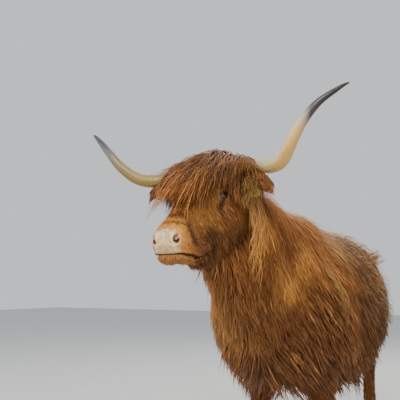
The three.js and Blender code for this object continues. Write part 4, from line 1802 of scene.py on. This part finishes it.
DOWN_TRUNK = fanned(0.75, 0.38, -1.0)
DOWN_NECK = fanned(0.75, 0.06, -1.0, shift=0.02, soft=0.035)
DOWN_TAIL = steady(0.0, 0.05, -1.0)
DOWN_LEG = steady(*unit(np.array([0.0, 0.3, -1.0])))
LONGEST_AT_CREST = graded(BODY, 2, 1.05, 1.3, 0.145, 0.06)
SHORTEST_AT_FOOT = graded(BODY, 2, 0.25, 0.6, 0.03, 0.05)
LONGEST_AT_THROAT = graded(HEAD, 0, 0.385, 0.33, 0.012, 0.054)
REGIONS = (
    Region("coat_barrel", Hair(7000, 5, 0.0053, 0.18, 0.02, 0.35, 0.002, 0.06, 0.05, 0.35, 0.12),
           barrel, DOWN_TRUNK, trunk_length, 0.35, split=True),
    Region("coat_barrel_strands", Hair(7700, 6, 0.0017, 0.22, 0.028, 0.38, 0.003, 0.1, 0.045, 0.5, 0.15),
           barrel, DOWN_TRUNK, trunk_length, 0.6, split=True),
    Region("coat_neck", Hair(4400, 6, 0.0044, 0.2, 0.024, 0.5, 0.002, 0.07, 0.045, 0.35, 0.12),
           throat_and_mane, DOWN_NECK, LONGEST_AT_CREST, 0.35, split=True),
    Region("coat_neck_strands", Hair(6600, 7, 0.0017, 0.24, 0.034, 0.5, 0.004, 0.12, 0.045, 0.5, 0.15),
           throat_and_mane, DOWN_NECK, LONGEST_AT_CREST, 0.6, split=True),
    Region("coat_mane", Hair(340, 13, 0.002, 0.55, 0.04, 0.92, 0.008, 0.13, 0.022, 0.45, 0.22, 0.1, 0.1),
           nape, DOWN_NECK, even(0.27), 0.5),
    Region("coat_rump_curls",
           Hair(700, 11, 0.0021, 0.72, 0.05, 0.3, 0.009, 0.03, 0.045, 0.8, 0.25, 0.3, 0.32),
           rump, DOWN_TRUNK, even(0.085), 0.5),
    Region("coat_hip_tufts",
           Hair(120, 9, 0.0018, 0.85, 0.07, 0.05, 0.006, 0.03, 0.03, 0.85, 0.2, 0.3, 0.6),
           hip, fanned(0.8, 0.35, 0.35), even(0.07), 0.5),
    Region("coat_parting",
           Hair(420, 9, 0.0015, 0.4, 0.034, 0.45, 0.005, 0.06, 0.025, 0.45, 0.15, 0.2, 0.25),
           parting, DOWN_TRUNK, even(0.115), 0.5),
    Region("coat_crest", Hair(900, 7, 0.0015, 0.75, 0.046, 0.35, 0.005, 0.06, 0.03, 0.45, 0.15, 0.2, 0.34),
           crest, DOWN_TRUNK, even(0.085), 0.5),
    Region("coat_legs", Hair(6400, 4, 0.0022, 0.14, 0.009, 0.3, 0.001, 0.04, 0.016, 0.35, 0.15),
           shanks, DOWN_LEG, SHORTEST_AT_FOOT, 0.4),
    Region("coat_face", Hair(9100, 4, 0.0014, 0.16, 0.01, 0.15, 0.001, 0.03, 0.014, 0.4, 0.18),
           cheeks, face_lie, face_length, 0.4),
    Region("coat_muzzle", Hair(4200, 4, 0.0007, 0.1, 0.003, 0.1, 0.0004, 0.02, 0.01, 0.2, 0.16),
           muzzle, face_lie, even(0.0085)),
    Region("coat_ear_tufts",
           Hair(400, 8, 0.0017, 0.5, 0.034, 0.93, 0.005, 0.07, 0.02, 0.4, 0.22, 0.5, 0.25),
           temple, temple_lie, even(0.095)),
    Region("coat_chin", Hair(900, 6, 0.001, 0.26, 0.014, 0.45, 0.002, 0.04, 0.014, 0.3),
           chin, face_lie, LONGEST_AT_THROAT),
    Region("forelock_locks", Hair(4300, 9, 0.0022, 0.62, 0.062, 0.78, 0.006, 0.15, 0.028, 0.55, 0.24, 0.22),
           crown, forelock_lie, forelock_length, 0.5, ("forelock",), "dark_coat"),
    Region("coat_ears", Hair(1700, 6, 0.0019, 0.3, 0.014, 0.68, 0.003, 0.06, 0.02, 0.4, 0.22),
           lobes, ear_lie, even(0.064)),
    Region("coat_tail", Hair(700, 6, 0.0034, 0.2, 0.012, 0.3, 0.002, 0.05, 0.02, 0.4),
           dock, DOWN_TAIL, even(0.06)),
    Region("tail_switch_locks", Hair(700, 10, 0.0035, 0.25, 0.045, 0.5, 0.006, 0.08, 0.03, 0.3),
           brush, DOWN_TAIL, even(0.28), 0.5, ("tail_switch",), "dark_coat"),
)


# ---- shader groups
@dataclass
class Wiring:
    """Makes and links the nodes of one tree."""

    tree: NodeTree

    def node(self, kind: str, inputs: dict | None = None, **settings) -> Node:
        """Adds a node, with settings, and with inputs that are either values or sockets to link.

        Args:
            kind: its type, without the leading ShaderNode.
            inputs: by socket name or number.
            settings: attributes of the node.

        Returns:
            The node.
        """
        made = self.tree.nodes.new(f"ShaderNode{kind}")
        for key, value in settings.items():
            setattr(made, key, value)
        self.feed(made, inputs or {})
        return made

    def feed(self, node: Node, inputs: dict) -> None:
        """Sets a node's inputs by name or number, to values or by links from sockets."""
        for key, value in inputs.items():
            if isinstance(value, NodeSocket):
                self.tree.links.new(value, node.inputs[key])
            else:
                node.inputs[key].default_value = value

    def group(self, tree: NodeTree, inputs: dict) -> bpy.types.bpy_prop_collection:
        """Places a shader group, and gives what comes out of it."""
        made = self.node("Group", node_tree=tree)
        self.feed(made, inputs)
        return made.outputs

    def attribute(self, name: str, output: str = "Fac") -> NodeSocket:
        """A value or a colour that the mesh carries."""
        return self.node("Attribute", attribute_name=name).outputs[output]

    def place(self) -> NodeSocket:
        """The object's own coordinates."""
        return self.node("TexCoord").outputs["Object"]

    def uneven(self, given: dict, place: NodeSocket, out: dict, **settings: float) -> None:
        """Noise at a place: its swing brightens and darkens a group's colour, and is its height.

        Args:
            given: what comes into the group, Colour and Amount among it.
            place: where the noise is read.
            out: where the group's Colour and Height go.
            settings: inputs of the noise.
        """
        noise = self.node("TexNoise", {"Vector": place, "Roughness": 0.6, **settings}).outputs["Fac"]
        swing = self.math("MULTIPLY_ADD", noise, 2.0, -1.0)
        factor = self.math("MULTIPLY_ADD", swing, given["Amount"], 1.0)
        self.tree.links.new(self.shade(given["Colour"], factor), out["Colour"])
        self.tree.links.new(noise, out["Height"])

    def math(self, what: str, a: Value, b: Value = 0.0, c: Value = 0.0) -> NodeSocket:
        """One step of arithmetic."""
        return self.node("Math", {0: a, 1: b, 2: c}, operation=what).outputs[0]

    def shade(self, base: Value, factor: Value) -> NodeSocket:
        """A colour times a number."""
        grey = self.node("CombineColor", {0: factor, 1: factor, 2: factor})
        inputs = {0: 1.0, 6: base, 7: grey.outputs[0]}
        return self.node("Mix", inputs, data_type="RGBA", blend_type="MULTIPLY").outputs[2]


def shader_group(name: str, inputs: dict, outputs: tuple) -> tuple:
    """An empty shader node group with named sockets.

    Args:
        name: of the group.
        inputs: name to default; a tuple makes a colour socket, a number makes a value socket.
        outputs: pairs of name and socket kind, Color or Float.

    Returns:
        The group, its wiring, its input node and its output node.
    """
    tree = bpy.data.node_groups.new(name, "ShaderNodeTree")
    for key, value in inputs.items():
        kind = "NodeSocketColor" if isinstance(value, tuple) else "NodeSocketFloat"
        tree.interface.new_socket(name=key, in_out="INPUT", socket_type=kind).default_value = value
    for key, kind in outputs:
        tree.interface.new_socket(name=key, in_out="OUTPUT", socket_type=f"NodeSocket{kind}")
    source, sink = tree.nodes.new("NodeGroupInput"), tree.nodes.new("NodeGroupOutput")
    return tree, Wiring(tree), source.outputs, sink.inputs


def streaks_group() -> NodeTree:
    """Fine lines along a UV map: noise that is narrow across and long along, on colour and height."""
    tree, w, given, out = shader_group(
        "fine_streaks",
        {"Colour": (0.5, 0.3, 0.1, 1.0), "Across": 9.0, "Along": 0.6, "Amount": 0.4},
        (("Colour", "Color"), ("Height", "Float")))
    split = w.node("SeparateXYZ", {0: w.node("UVMap", uv_map="strand").outputs[0]}).outputs
    across = w.math("MULTIPLY", split[0], given["Across"])
    along = w.math("MULTIPLY", split[1], given["Along"])
    w.uneven(given, w.node("CombineXYZ", {0: across, 1: along}).outputs[0], out, Scale=1.0, Detail=3.0)
    return tree


def mottling_group() -> NodeTree:
    """Soft uneven patches on the object's own coordinates, on colour and height."""
    tree, w, given, out = shader_group(
        "soft_mottling",
        {"Colour": (0.5, 0.3, 0.1, 1.0), "Scale": 20.0, "Amount": 0.2},
        (("Colour", "Color"), ("Height", "Float")))
    w.uneven(given, w.place(), out, Scale=given["Scale"], Detail=4.0)
    return tree


def growth_group() -> NodeTree:
    """Rings across a growing horn or hoof: a wave along the piece, bent by noise, as height."""
    tree, w, given, out = shader_group(
        "growth_rings", {"Along": 0.0, "Count": 30.0, "Fade": 0.5}, (("Height", "Float"),))
    noise = w.node("TexNoise", {"Vector": w.place(), "Scale": 22.0, "Detail": 2.0})
    bent = w.math("MULTIPLY_ADD", noise.outputs["Fac"], 0.03, given["Along"])
    turn = w.math("MULTIPLY", w.math("MULTIPLY", bent, given["Count"]), 2 * math.pi)
    wave = w.math("SINE", turn)
    left = w.node("MapRange", {"Value": given["Along"], "From Min": 0.0, "From Max": given["Fade"],
                               "To Min": 1.0, "To Max": 0.0})
    tree.links.new(w.math("MULTIPLY", wave, left.outputs[0]), out["Height"])
    return tree


STREAKS = streaks_group()
MOTTLING = mottling_group()
GROWTH = growth_group()


# ---- finishes
@dataclass(frozen=True)
class Finish:
    """A surface: what is the same all over it goes straight onto the shader.

    Attributes:
        name: of the material.
        rough: roughness.
        specular: strength of the plain gloss.
        coat: weight of a clear wet or polished layer.
        bump: depth of the fine relief in metres.
    """

    name: str
    rough: float
    specular: float = 0.4
    coat: float = 0.0
    bump: float = 0.0

    def start(self) -> tuple[Material, Wiring, Node]:
        """Makes the material with its constants set.

        Returns:
            The material, its wiring and its shader.
        """
        material = bpy.data.materials.new(self.name)
        material.use_nodes = True
        w = Wiring(material.node_tree)
        shader = material.node_tree.nodes["Principled BSDF"]
        w.feed(shader, {"Roughness": self.rough, "Specular IOR Level": self.specular,
                        "Coat Weight": self.coat, "Coat Roughness": 0.12})
        return material, w, shader

    def cover(self, w: Wiring, shader: Node, tone: NodeSocket, height: NodeSocket) -> None:
        """Colours the surface, and raises it by a height at the finish's own depth."""
        bump = w.node("Bump", {"Height": height, "Distance": self.bump, "Strength": 1.0})
        w.feed(shader, {"Base Color": tone, "Normal": bump.outputs[0]})


@dataclass(frozen=True)
class HairFinish(Finish):
    """Locks of hair: their own colour with fine streaks along them."""

    def material(self) -> Material:
        """Builds it."""
        made, w, shader = self.start()
        tint = w.attribute("tint", "Color")
        streaks = w.group(STREAKS, {"Colour": tint, "Across": 7.0, "Along": 0.5, "Amount": 0.55})
        self.cover(w, shader, streaks["Colour"], streaks["Height"])
        return made


@dataclass(frozen=True)
class SkinFinish(Finish):
    """The skin under the coat: its marking, matt where hair grows and moist on the nose pad."""

    def material(self) -> Material:
        """Builds it."""
        made, w, shader = self.start()
        marked = w.attribute("marking", "Color")
        pad = w.attribute("pad")
        patches = w.group(MOTTLING, {"Colour": marked, "Scale": 60.0, "Amount": 0.35})
        gloss = w.node("MapRange", {"Value": pad, "To Min": self.rough, "To Max": 0.36})
        w.feed(shader, {"Roughness": gloss.outputs[0], "Coat Weight": w.math("MULTIPLY", pad, 0.7)})
        place = w.place()
        pebbles = w.node("TexVoronoi", {"Vector": place, "Scale": 330.0}, feature="SMOOTH_F1")
        fur = w.node("TexNoise", {"Vector": place, "Scale": 420.0, "Detail": 3.0})
        height = w.node("Mix", {0: pad, 2: fur.outputs["Fac"], 3: pebbles.outputs["Distance"]})
        self.cover(w, shader, patches["Colour"], height.outputs[0])
        return made


@dataclass(frozen=True)
class HornFinish(Finish):
    """Horn: a run of colours from base to tip, streaked along it, with growth rings near the base and painted
    shade on its underside, darker and more ochre.
    """

    stops: tuple = (
        (0.00, (0.3, 0.23, 0.15)), (0.14, (0.42, 0.33, 0.21)), (0.34, (0.5, 0.41, 0.25)),
        (0.47, (0.64, 0.5, 0.23)), (0.57, (0.72, 0.49, 0.15)), (0.64, (0.66, 0.49, 0.2)),
        (0.7, (0.44, 0.4, 0.33)), (0.73, (0.28, 0.26, 0.25)), (0.76, (0.06, 0.048, 0.05)),
        (0.84, (0.018, 0.013, 0.016)), (0.96, (0.016, 0.01, 0.011)), (1.00, (0.12, 0.07, 0.03)))
    # What the underside's colour is multiplied by: painted shade.
    under: tuple = (1.0, 0.76, 0.42)

    def material(self) -> Material:
        """Builds it."""
        made, w, shader = self.start()
        along = w.attribute("along")
        # The painted shade on the underside reads the colours a little further towards the tip and darkens
        # them.
        below = w.attribute("under")
        noise = w.node("TexNoise", {"Vector": w.place(), "Scale": 9.0, "Detail": 3.0})
        shift = w.math("MULTIPLY_ADD", noise.outputs["Fac"], 0.10, -0.05)
        shift = w.math("MULTIPLY_ADD", below, 0.035, shift)
        ramp = w.node("ValToRGB", {0: w.math("ADD", along, shift)})
        bar = ramp.color_ramp
        for k, (spot, value) in enumerate(self.stops):
            stop = bar.elements[k] if k < 2 else bar.elements.new(spot)
            stop.position = spot
            stop.color = (*value, 1.0)
        shaded_underside = w.node("Mix", {0: below, 6: ramp.outputs[0], 7: (*self.under, 1.0)},
                      data_type="RGBA", blend_type="MULTIPLY")
        streaks = w.group(STREAKS, {
            "Colour": shaded_underside.outputs[2], "Across": 2.2, "Along": 0.9, "Amount": 0.42})
        rings = w.group(GROWTH, {"Along": along, "Count": 34.0, "Fade": 0.45})
        height = w.math("MULTIPLY_ADD", streaks["Height"], 1.4, rings["Height"])
        self.cover(w, shader, streaks["Colour"], height)
        return made


@dataclass(frozen=True)
class PlainFinish(Finish):
    """One colour with soft patches: hoof, plastic and floor."""

    tone: tuple = (0.1, 0.1, 0.1)
    scale: float = 30.0
    amount: float = 0.2
    rings: float = 0.0

    def material(self) -> Material:
        """Builds it."""
        made, w, shader = self.start()
        patches = w.group(MOTTLING, {
            "Colour": (*self.tone, 1.0), "Scale": self.scale, "Amount": self.amount})
        height = patches["Height"]
        if self.rings:
            along = w.attribute("along")
            rings = w.group(GROWTH, {"Along": along, "Count": self.rings, "Fade": 2.0})
            height = w.math("MULTIPLY_ADD", height, 1.5, rings["Height"])
        self.cover(w, shader, patches["Colour"], height)
        return made


@dataclass(frozen=True)
class EyeFinish(Finish):
    """A wet eye in its own painted colours."""

    def material(self) -> Material:
        """Builds it."""
        made, w, shader = self.start()
        tint = w.attribute("tint", "Color")
        patches = w.group(MOTTLING, {"Colour": tint, "Scale": 400.0, "Amount": 0.25})
        w.feed(shader, {"Base Color": patches["Colour"]})
        return made


class Look:
    """The finishes of the cow and its floor."""

    HAIR = HairFinish("ginger_hair", 0.55, 0.22, bump=0.0008)
    SKIN = SkinFinish("hide", 0.75, 0.30, bump=0.0008)
    HORN = HornFinish("horn", 0.42, 0.45, coat=0.15, bump=0.0009)
    SHADED_HORN = HornFinish("horn_shaded", 0.42, 0.45, coat=0.15, bump=0.0009, stops=(
        (0.00, (0.24, 0.18, 0.06)), (0.2, (0.28, 0.21, 0.07)), (0.36, (0.32, 0.24, 0.07)),
        (0.48, (0.29, 0.21, 0.05)), (0.56, (0.23, 0.17, 0.05)), (0.62, (0.17, 0.15, 0.07)),
        (0.68, (0.11, 0.115, 0.1)), (0.74, (0.06, 0.063, 0.065)), (0.8, (0.03, 0.03, 0.035)),
        (0.88, (0.016, 0.015, 0.018)), (0.96, (0.016, 0.01, 0.011)), (1.00, (0.12, 0.07, 0.03))))
    HOOF = PlainFinish("hoof", 0.50, 0.40, bump=0.0006, tone=(0.060, 0.050, 0.044), rings=9.0)
    EYE = EyeFinish("eye", 0.06, 0.6, coat=1.0)
    TAG = PlainFinish("tag_plastic", 0.42, 0.45, bump=0.0002, tone=(0.40, 0.40, 0.025), amount=0.12)
    FLOOR = PlainFinish("pale_floor", 0.85, 0.2, bump=0.0001, tone=(0.60, 0.60, 0.59), scale=2.0, amount=0.03)


# ---- round pieces
def outward(points: Array, quads: Array, tris: Array) -> tuple[Array, Array]:
    """Turns the faces so that the closed surface they make has a volume above zero.

    Args:
        points: of the surface.
        quads: its faces with four corners.
        tris: its faces with three.

    Returns:
        The quads and the triangles.
    """
    a, b, c = (points[quads[:, k]] for k in range(3))
    d = points[quads[:, 3]]
    volume = np.sum(np.cross(a, b) * c) + np.sum(np.cross(a, c) * d)
    return (quads, tris) if volume > 0 else (quads[:, ::-1], tris[:, ::-1])


def swept(middle: Array, across: Array, up: Array, side: Array, high: Array, low: Array,
          square: float, sides: int) -> tuple:
    """A closed surface of rounded sections: the angle runs round each one, the row runs along.

    A section's point at an angle a is its middle plus across times side times cos a raised to
    2 / square, plus up times high times sin a raised the same way, signs kept. Both ends close in a
    fan on the first and the last middle.

    Args:
        middle: middles of the sections, (n, 3).
        across: unit vectors across, (n, 3) or one for all.
        up: unit vectors up, in the same way.
        side: half widths, (n,).
        high: reaches above the middle, (n,).
        low: reaches below it, (n,).
        square: how boxy a section is, 2 for an ellipse.
        sides: points round a section.

    Returns:
        Points, quads, triangles, the angle and the place along for each point, both from 0 to 1.
    """
    n = len(middle)
    a = np.linspace(0, 2 * math.pi, sides, endpoint=False)
    c = np.sign(np.cos(a)) * np.abs(np.cos(a)) ** (2 / square)
    s = np.sign(np.sin(a)) * np.abs(np.sin(a)) ** (2 / square)
    reach = np.where(s > 0, high[:, None], low[:, None])
    across, up = np.broadcast_to(across, (n, 3)), np.broadcast_to(up, (n, 3))
    ring = (middle[:, None] + across[:, None] * (side[:, None] * c)[..., None]
            + up[:, None] * (reach * s)[..., None])
    points = np.concatenate([ring.reshape(-1, 3), middle[:1], middle[-1:]])
    i, j = np.meshgrid(np.arange(n - 1), np.arange(sides), indexing="ij")
    k = (j + 1) % sides
    quads = np.stack([i * sides + j, i * sides + k, (i + 1) * sides + k, (i + 1) * sides + j], axis=-1)
    j = np.arange(sides)
    k = (j + 1) % sides
    first = columns(n * sides, k, j)
    last = columns(n * sides + 1, (n - 1) * sides + j, (n - 1) * sides + k)
    turn = np.append(np.tile(a / (2 * math.pi), n), [0, 0])
    along = np.append(np.repeat(np.linspace(0, 1, n), sides), [0, 1])
    faces = outward(points, quads.reshape(-1, 4), np.concatenate([first, last]))
    return points, *faces, turn, along


def finished(obj: Object, material: Material, slot: str, *nodes: str) -> Object:
    """Dresses a piece, sets it on the body and hides the CAD nodes it stands for.

    Args:
        obj: the piece.
        material: its one finish.
        slot: the record's material slot; not used.
        nodes: names of the CAD nodes.

    Returns:
        The piece.
    """
    obj.data.materials.append(material)
    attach(obj, "root")
    if nodes:
        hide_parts(*nodes)
    count = sum(len(p.vertices) - 2 for p in obj.data.polygons)
    log.info("%-32s %7d triangles", obj.name, count)
    return obj


@dataclass
class Horn:
    """One horn: round sections along a bent path, swelling in low uneven rings near the head."""

    side: Side
    path: list
    rings: int = 150
    sides: int = 40

    def build(self) -> Object:
        """Makes the horn's object."""
        rows = curve(self.path, self.rings) * MM
        rows[:, 1] *= self.side.value
        middle = HEAD.world(rows[:, :3])
        way = unit(np.gradient(middle, axis=0))
        across = unit(HEAD.axes[0] - way * (way @ HEAD.axes[0])[:, None])
        up = np.cross(way, across)
        t = np.linspace(0, 1, self.rings)
        uneven = 0.01 * np.sin(t * 170 + 2 * np.sin(t * 23)) * ease(0.5, 0.1, t)
        radius = rows[:, 3] * (1 + uneven) * np.sqrt(np.clip((1 - t) / 0.012, 0, 1))
        radius = np.maximum(radius, 0.1 * MM)
        points, quads, tris, turn, along = swept(middle, across, up, radius, radius, radius, 2.0, self.sides)
        obj = object_from(f"horn_{self.side.word}_smooth", points, quads, tris)
        paint(obj, "along", along)
        out = unit(points - np.concatenate([np.repeat(middle, self.sides, axis=0), middle[:1], middle[-1:]]))
        # How far each point faces down, for the painted shade on the horn's underside.
        paint(obj, "under", 0.85 * ease(0.2, -0.8, out[:, 2]))
        lay_out(obj, "strand", columns(16 * np.abs(turn - 0.5), 8 * along))
        return obj


@dataclass
class Eye:
    """One eyeball: a sphere round its line of sight, painted with a wide pupil in a brown iris."""

    side: Side
    radius: float = EYE_RADIUS
    rings: int = 64
    sides: int = 96

    def build(self) -> Object:
        """Makes the eyeball's object: latitude runs from the pupil to the back, longitude round it."""
        flip = np.array([1, self.side.value, 1])
        centre = HEAD.world(EYE_CENTRE * flip)
        gaze, across, up = (HEAD.turn(v * flip) for v in (EYE_OUT, LID_LONG, LID_UP))
        lat = np.linspace(0.02, math.pi - 0.02, self.rings)
        bulge = 1 + 0.035 * np.clip(1 - (lat / 0.62) ** 2, 0, 1)
        middle = centre + gaze * (self.radius * bulge * np.cos(lat))[:, None]
        size = self.radius * bulge * np.sin(lat)
        points, quads, tris, _, _ = swept(middle, across, up, size, size, size, 2.0, self.sides)
        obj = object_from(f"eyeball_{self.side.word}", points, quads, tris)
        paint(obj, "tint", self.tint((points - centre) / self.radius, gaze, across, up))
        return obj

    @staticmethod
    def tint(ways: Array, gaze: Array, across: Array, up: Array) -> Array:
        """White at the back, a dark rim, a brown iris and a pupil that is wider than it is high.

        Args:
            ways: places on the eyeball, over its radius from its middle.
            gaze: the unit vector in which it looks.
            across: the one along the lids.
            up: the one from the lower to the upper.

        Returns:
            One colour for each place.
        """
        a, b, front = ways @ across, ways @ up, ways @ gaze
        round_off = np.hypot(a, b) + 2 * (front < 0)
        pupil = np.hypot(a / 0.42, b / 0.24)
        return laid(
            np.tile(colour(0.3, 0.22, 0.17), (len(ways), 1)),
            (colour(0.02, 0.011, 0.008), ease(0.74, 0.68, round_off)),
            (colour(0.085, 0.038, 0.016), ease(0.64, 0.5, round_off)),
            (colour(0.004, 0.004, 0.006), ease(1.08, 0.92, pupil) * (front > 0)))


@dataclass
class Foot:
    """The two claws and two dewclaws of one foot, in the sizes of the CAD nodes they stand for."""

    name: str
    back: float
    width: float = 50.0
    length: float = 112.0
    height: float = 68.0
    apart: float = 58.0
    ahead: float = 14.0
    dew_radius: float = 14.0
    dew_length: float = 34.0
    dew_apart: float = 52.0
    dew_height: float = 118.0
    dew_behind: float = 62.0

    def build(self) -> Object:
        """Makes one object of the four."""
        side = 1 if self.name[1] == "l" else -1
        stride = STRIDES[self.name]
        shells = []
        dew_y = self.back + self.dew_behind + stride * (1 - self.dew_height / STRIDE_TOP)
        for sign in (-1, 1):
            x = side * (FOOT_SIDE + sign * self.apart / 2)
            shells.append(self.claw(x, self.back - self.ahead + stride))
            shells.append(self.dewclaw(side * (FOOT_SIDE + sign * self.dew_apart / 2), dew_y))
        points, quads, tris, along, base = [], [], [], [], 0
        for shell in shells:
            points.append(shell[0])
            quads.append(shell[1] + base)
            tris.append(shell[2] + base)
            along.append(shell[4])
            base += len(shell[0])
        obj = object_from(f"hooves_{self.name}", *map(np.concatenate, (points, quads, tris)))
        paint(obj, "along", np.concatenate(along))
        return obj

    def claw(self, x: float, y: float) -> tuple:
        """A claw: level rounded sections from the flat sole to the crown, longer to the toe than the heel.

        Args:
            x: its middle across the cow, mm.
            y: its middle along the cow, mm.

        Returns:
            What swept gives.
        """
        t = np.linspace(0, 1, 22)
        levels = (0, 0.06, 0.25, 0.6, 1)
        side = np.interp(t, levels, (0.93, 1.0, 1.0, 0.92, 0.8)) * self.width / 2
        toe = np.interp(t, levels, (0.505, 0.52, 0.49, 0.4, 0.28)) * self.length
        heel = np.interp(t, levels, (0.385, 0.4, 0.4, 0.37, 0.32)) * self.length
        middle = BODY.world(columns(x, y, self.height * t) * MM)
        return swept(middle, (1.0, 0, 0), (0, -1.0, 0), side * MM, toe * MM, heel * MM, 2.3, 36)

    def dewclaw(self, x: float, y: float) -> tuple:
        """A dewclaw: a short blunt cone that points back and down."""
        t = np.linspace(0, 1, 12)
        radius = self.dew_radius * np.sqrt(np.clip(1 - ((t - 0.35) / 0.66) ** 2, 0.002, 1))
        middle = BODY.world(columns(x, y + self.dew_length * (t - 0.5), self.dew_height + 10 - 26 * t) * MM)
        radius = radius * MM
        return swept(middle, (1.0, 0, 0), (0, 0, 1.0), radius, radius, radius, 2.0, 18)


# In the head's frame: x to the muzzle, y to the horn's own side, z out of the brow, and the radius.
HORNS = {
    Side.LEFT: [
        (-4, 40, -36, 24), (-2, 96, -18, 27), (4, 170, -18, 25.5), (36, 240, -18, 25.5),
        (72, 304, 10, 23.5), (88, 354, 65, 20.5), (78, 405, 126, 17), (42, 461, 172, 12.5),
        (-6, 522, 194, 7.2), (-30, 553, 200, 2.6)],
    Side.RIGHT: [
        (-4, 40, -34, 24), (-2, 96, -12, 27), (14, 172, -12, 26), (50, 240, -12, 25.5),
        (88, 300, 20, 23.5), (96, 353, 77, 20), (78, 403, 138, 16), (38, 461, 177, 11.5),
        (-12, 523, 196, 6.8), (-36, 553, 201, 2.6)],
}
FOOT_BACK = {"f": 0.0, "h": 905.0}
FLESH = ("head", "jaw", "ear_left", "ear_right", "neck", "trunk", "leg_fl", "leg_fr", "leg_hl", "leg_hr",
         "tail", "udder")


# ---- the studio
@dataclass
class Studio:
    """A pale floor and backdrop, soft lights, and the camera.

    Attributes:
        eye: the camera's place in the cow's frame.
        heading: the level direction in which it looks.
        rise: the tangent of its upward tilt.
        lens: focal length in millimetres on a 36 mm frame.
        chest: what the lights face.
    """

    eye: tuple = (0.832, -2.457, 0.837)
    heading: tuple = (-0.4628, 0.8861, 0.0)
    rise: float = 0.1531532
    lens: float = 50.0
    chest: tuple = (0, -0.3, 0.9)

    def build(self) -> None:
        """Makes the floor, the lights, the sky and the camera."""
        self.floor()
        self.light("key", (0.9, -4.6, 4.0), 270, 2.4, (1.0, 0.95, 0.86))
        self.light("fill", (-4.2, -2.6, 2.4), 95, 3.6, (0.92, 0.96, 1.0))
        self.light("back", (0.6, 3.6, 4.6), 190, 2.4, (1.0, 0.96, 0.88))
        world = bpy.data.worlds.new("sky")
        world.use_nodes = True
        sky = world.node_tree.nodes["Background"]
        sky.inputs["Color"].default_value = (0.86, 0.90, 0.95, 1)
        sky.inputs["Strength"].default_value = 0.85
        bpy.context.scene.world = world
        self.camera()

    def floor(self) -> None:
        """A wide level square at the soles."""
        half = 14.0
        points = np.array([(-half, -half, 0), (half, -half, 0), (half, half, 0), (-half, half, 0)])
        floor = object_from("floor", points, np.array([[0, 1, 2, 3]]))
        floor.data.materials.append(Look.FLOOR.material())

    def light(self, name: str, place: tuple, power: float, size: float, tone: tuple) -> None:
        """A soft square light that faces the cow's chest."""
        lamp = bpy.data.lights.new(name, "AREA")
        lamp.energy, lamp.size, lamp.color = power, size, tone
        self.stand(lamp, place, Vector(self.chest) - Vector(place))

    def camera(self) -> None:
        """The camera at a standing child's height, to the front and left of the cow, tilted up a little."""
        camera = bpy.data.cameras.new("camera")
        camera.lens, camera.sensor_width = self.lens, 36.0
        way = unit(np.array(self.heading)) + np.array([0, 0, self.rise])
        bpy.context.scene.camera = self.stand(camera, BODY.world(np.array(self.eye)), Vector(way))

    @staticmethod
    def stand(data: bpy.types.ID, place: tuple | Array, way: Vector) -> Object:
        """Puts a light or a camera at a place, looking along a direction."""
        obj = bpy.data.objects.new(data.name, data)
        obj.location = place
        obj.rotation_euler = way.to_track_quat("-Z", "Y").to_euler()
        bpy.context.scene.collection.objects.link(obj)
        return obj


# ---- the whole cow
@dataclass
class Cow:
    """Builds the cow's pieces in order, on a grid of the given cell that reaches a margin past them."""

    form: Form = field(default_factory=Form)
    cell: float = 11.2 * MM
    margin: float = 90 * MM

    def build(self) -> None:
        """Skin first, then the coat that grows on it, then what stands out of it."""
        room = Field.over(self.form, self.cell, self.margin)
        skin = Skin(self.form, room).build()
        points = mesh_points(skin.data)
        pad = pad_mask(HEAD.local(points))
        paint(skin, "marking", marking(points) * (0.75 + 0.25 * pad)[:, None])
        paint(skin, "pad", pad)
        finished(skin, Look.SKIN.material(), "coat", *FLESH)
        self.coat(Coat(self.form, room, skin))
        horn = {Side.LEFT: Look.HORN.material(), Side.RIGHT: Look.SHADED_HORN.material()}
        eye = Look.EYE.material()
        for side in Side:
            name = side.word
            finished(Horn(side, HORNS[side]).build(), horn[side], "horn", f"horn_{name}")
            finished(Eye(side).build(), eye, "eye", f"eye_{name}")
        hoof = Look.HOOF.material()
        for name in STRIDES:
            nodes = [f"{kind}_{name}_{where}" for kind in ("claw", "dewclaw") for where in ("inner", "outer")]
            finished(Foot(name, FOOT_BACK[name[0]]).build(), hoof, "hoof", *nodes)
        tag = bpy.data.objects["ear_tag"]
        tag.data.materials.clear()
        tag.data.materials.append(Look.TAG.material())

    def coat(self, coat: Coat) -> None:
        """Grows every region of the coat, in one or two halves."""
        material = Look.HAIR.material()
        head = HEAD.local(coat.middle)
        ground = Ground(coat.part, BODY.local(coat.middle), folded(head), pad_mask(head))
        for region in REGIONS:
            locks = coat.grow(region.hair, region.where(ground), region.lie, region.length)
            halves = [("", np.ones(len(locks.width), bool))]
            if region.split:
                left = BODY.local(locks.paths[:, 0])[:, 0] > 0
                halves = [("_left", left), ("_right", ~left)]
            for ending, chosen in halves:
                obj = locks.part(chosen).mesh(region.name + ending, region.flat)
                finished(obj, material, region.slot, *region.stands_for)


def main() -> None:
    """Builds the cow and its studio."""
    Cow().build()
    Studio().build()


if __name__ == "__main__":
    main()
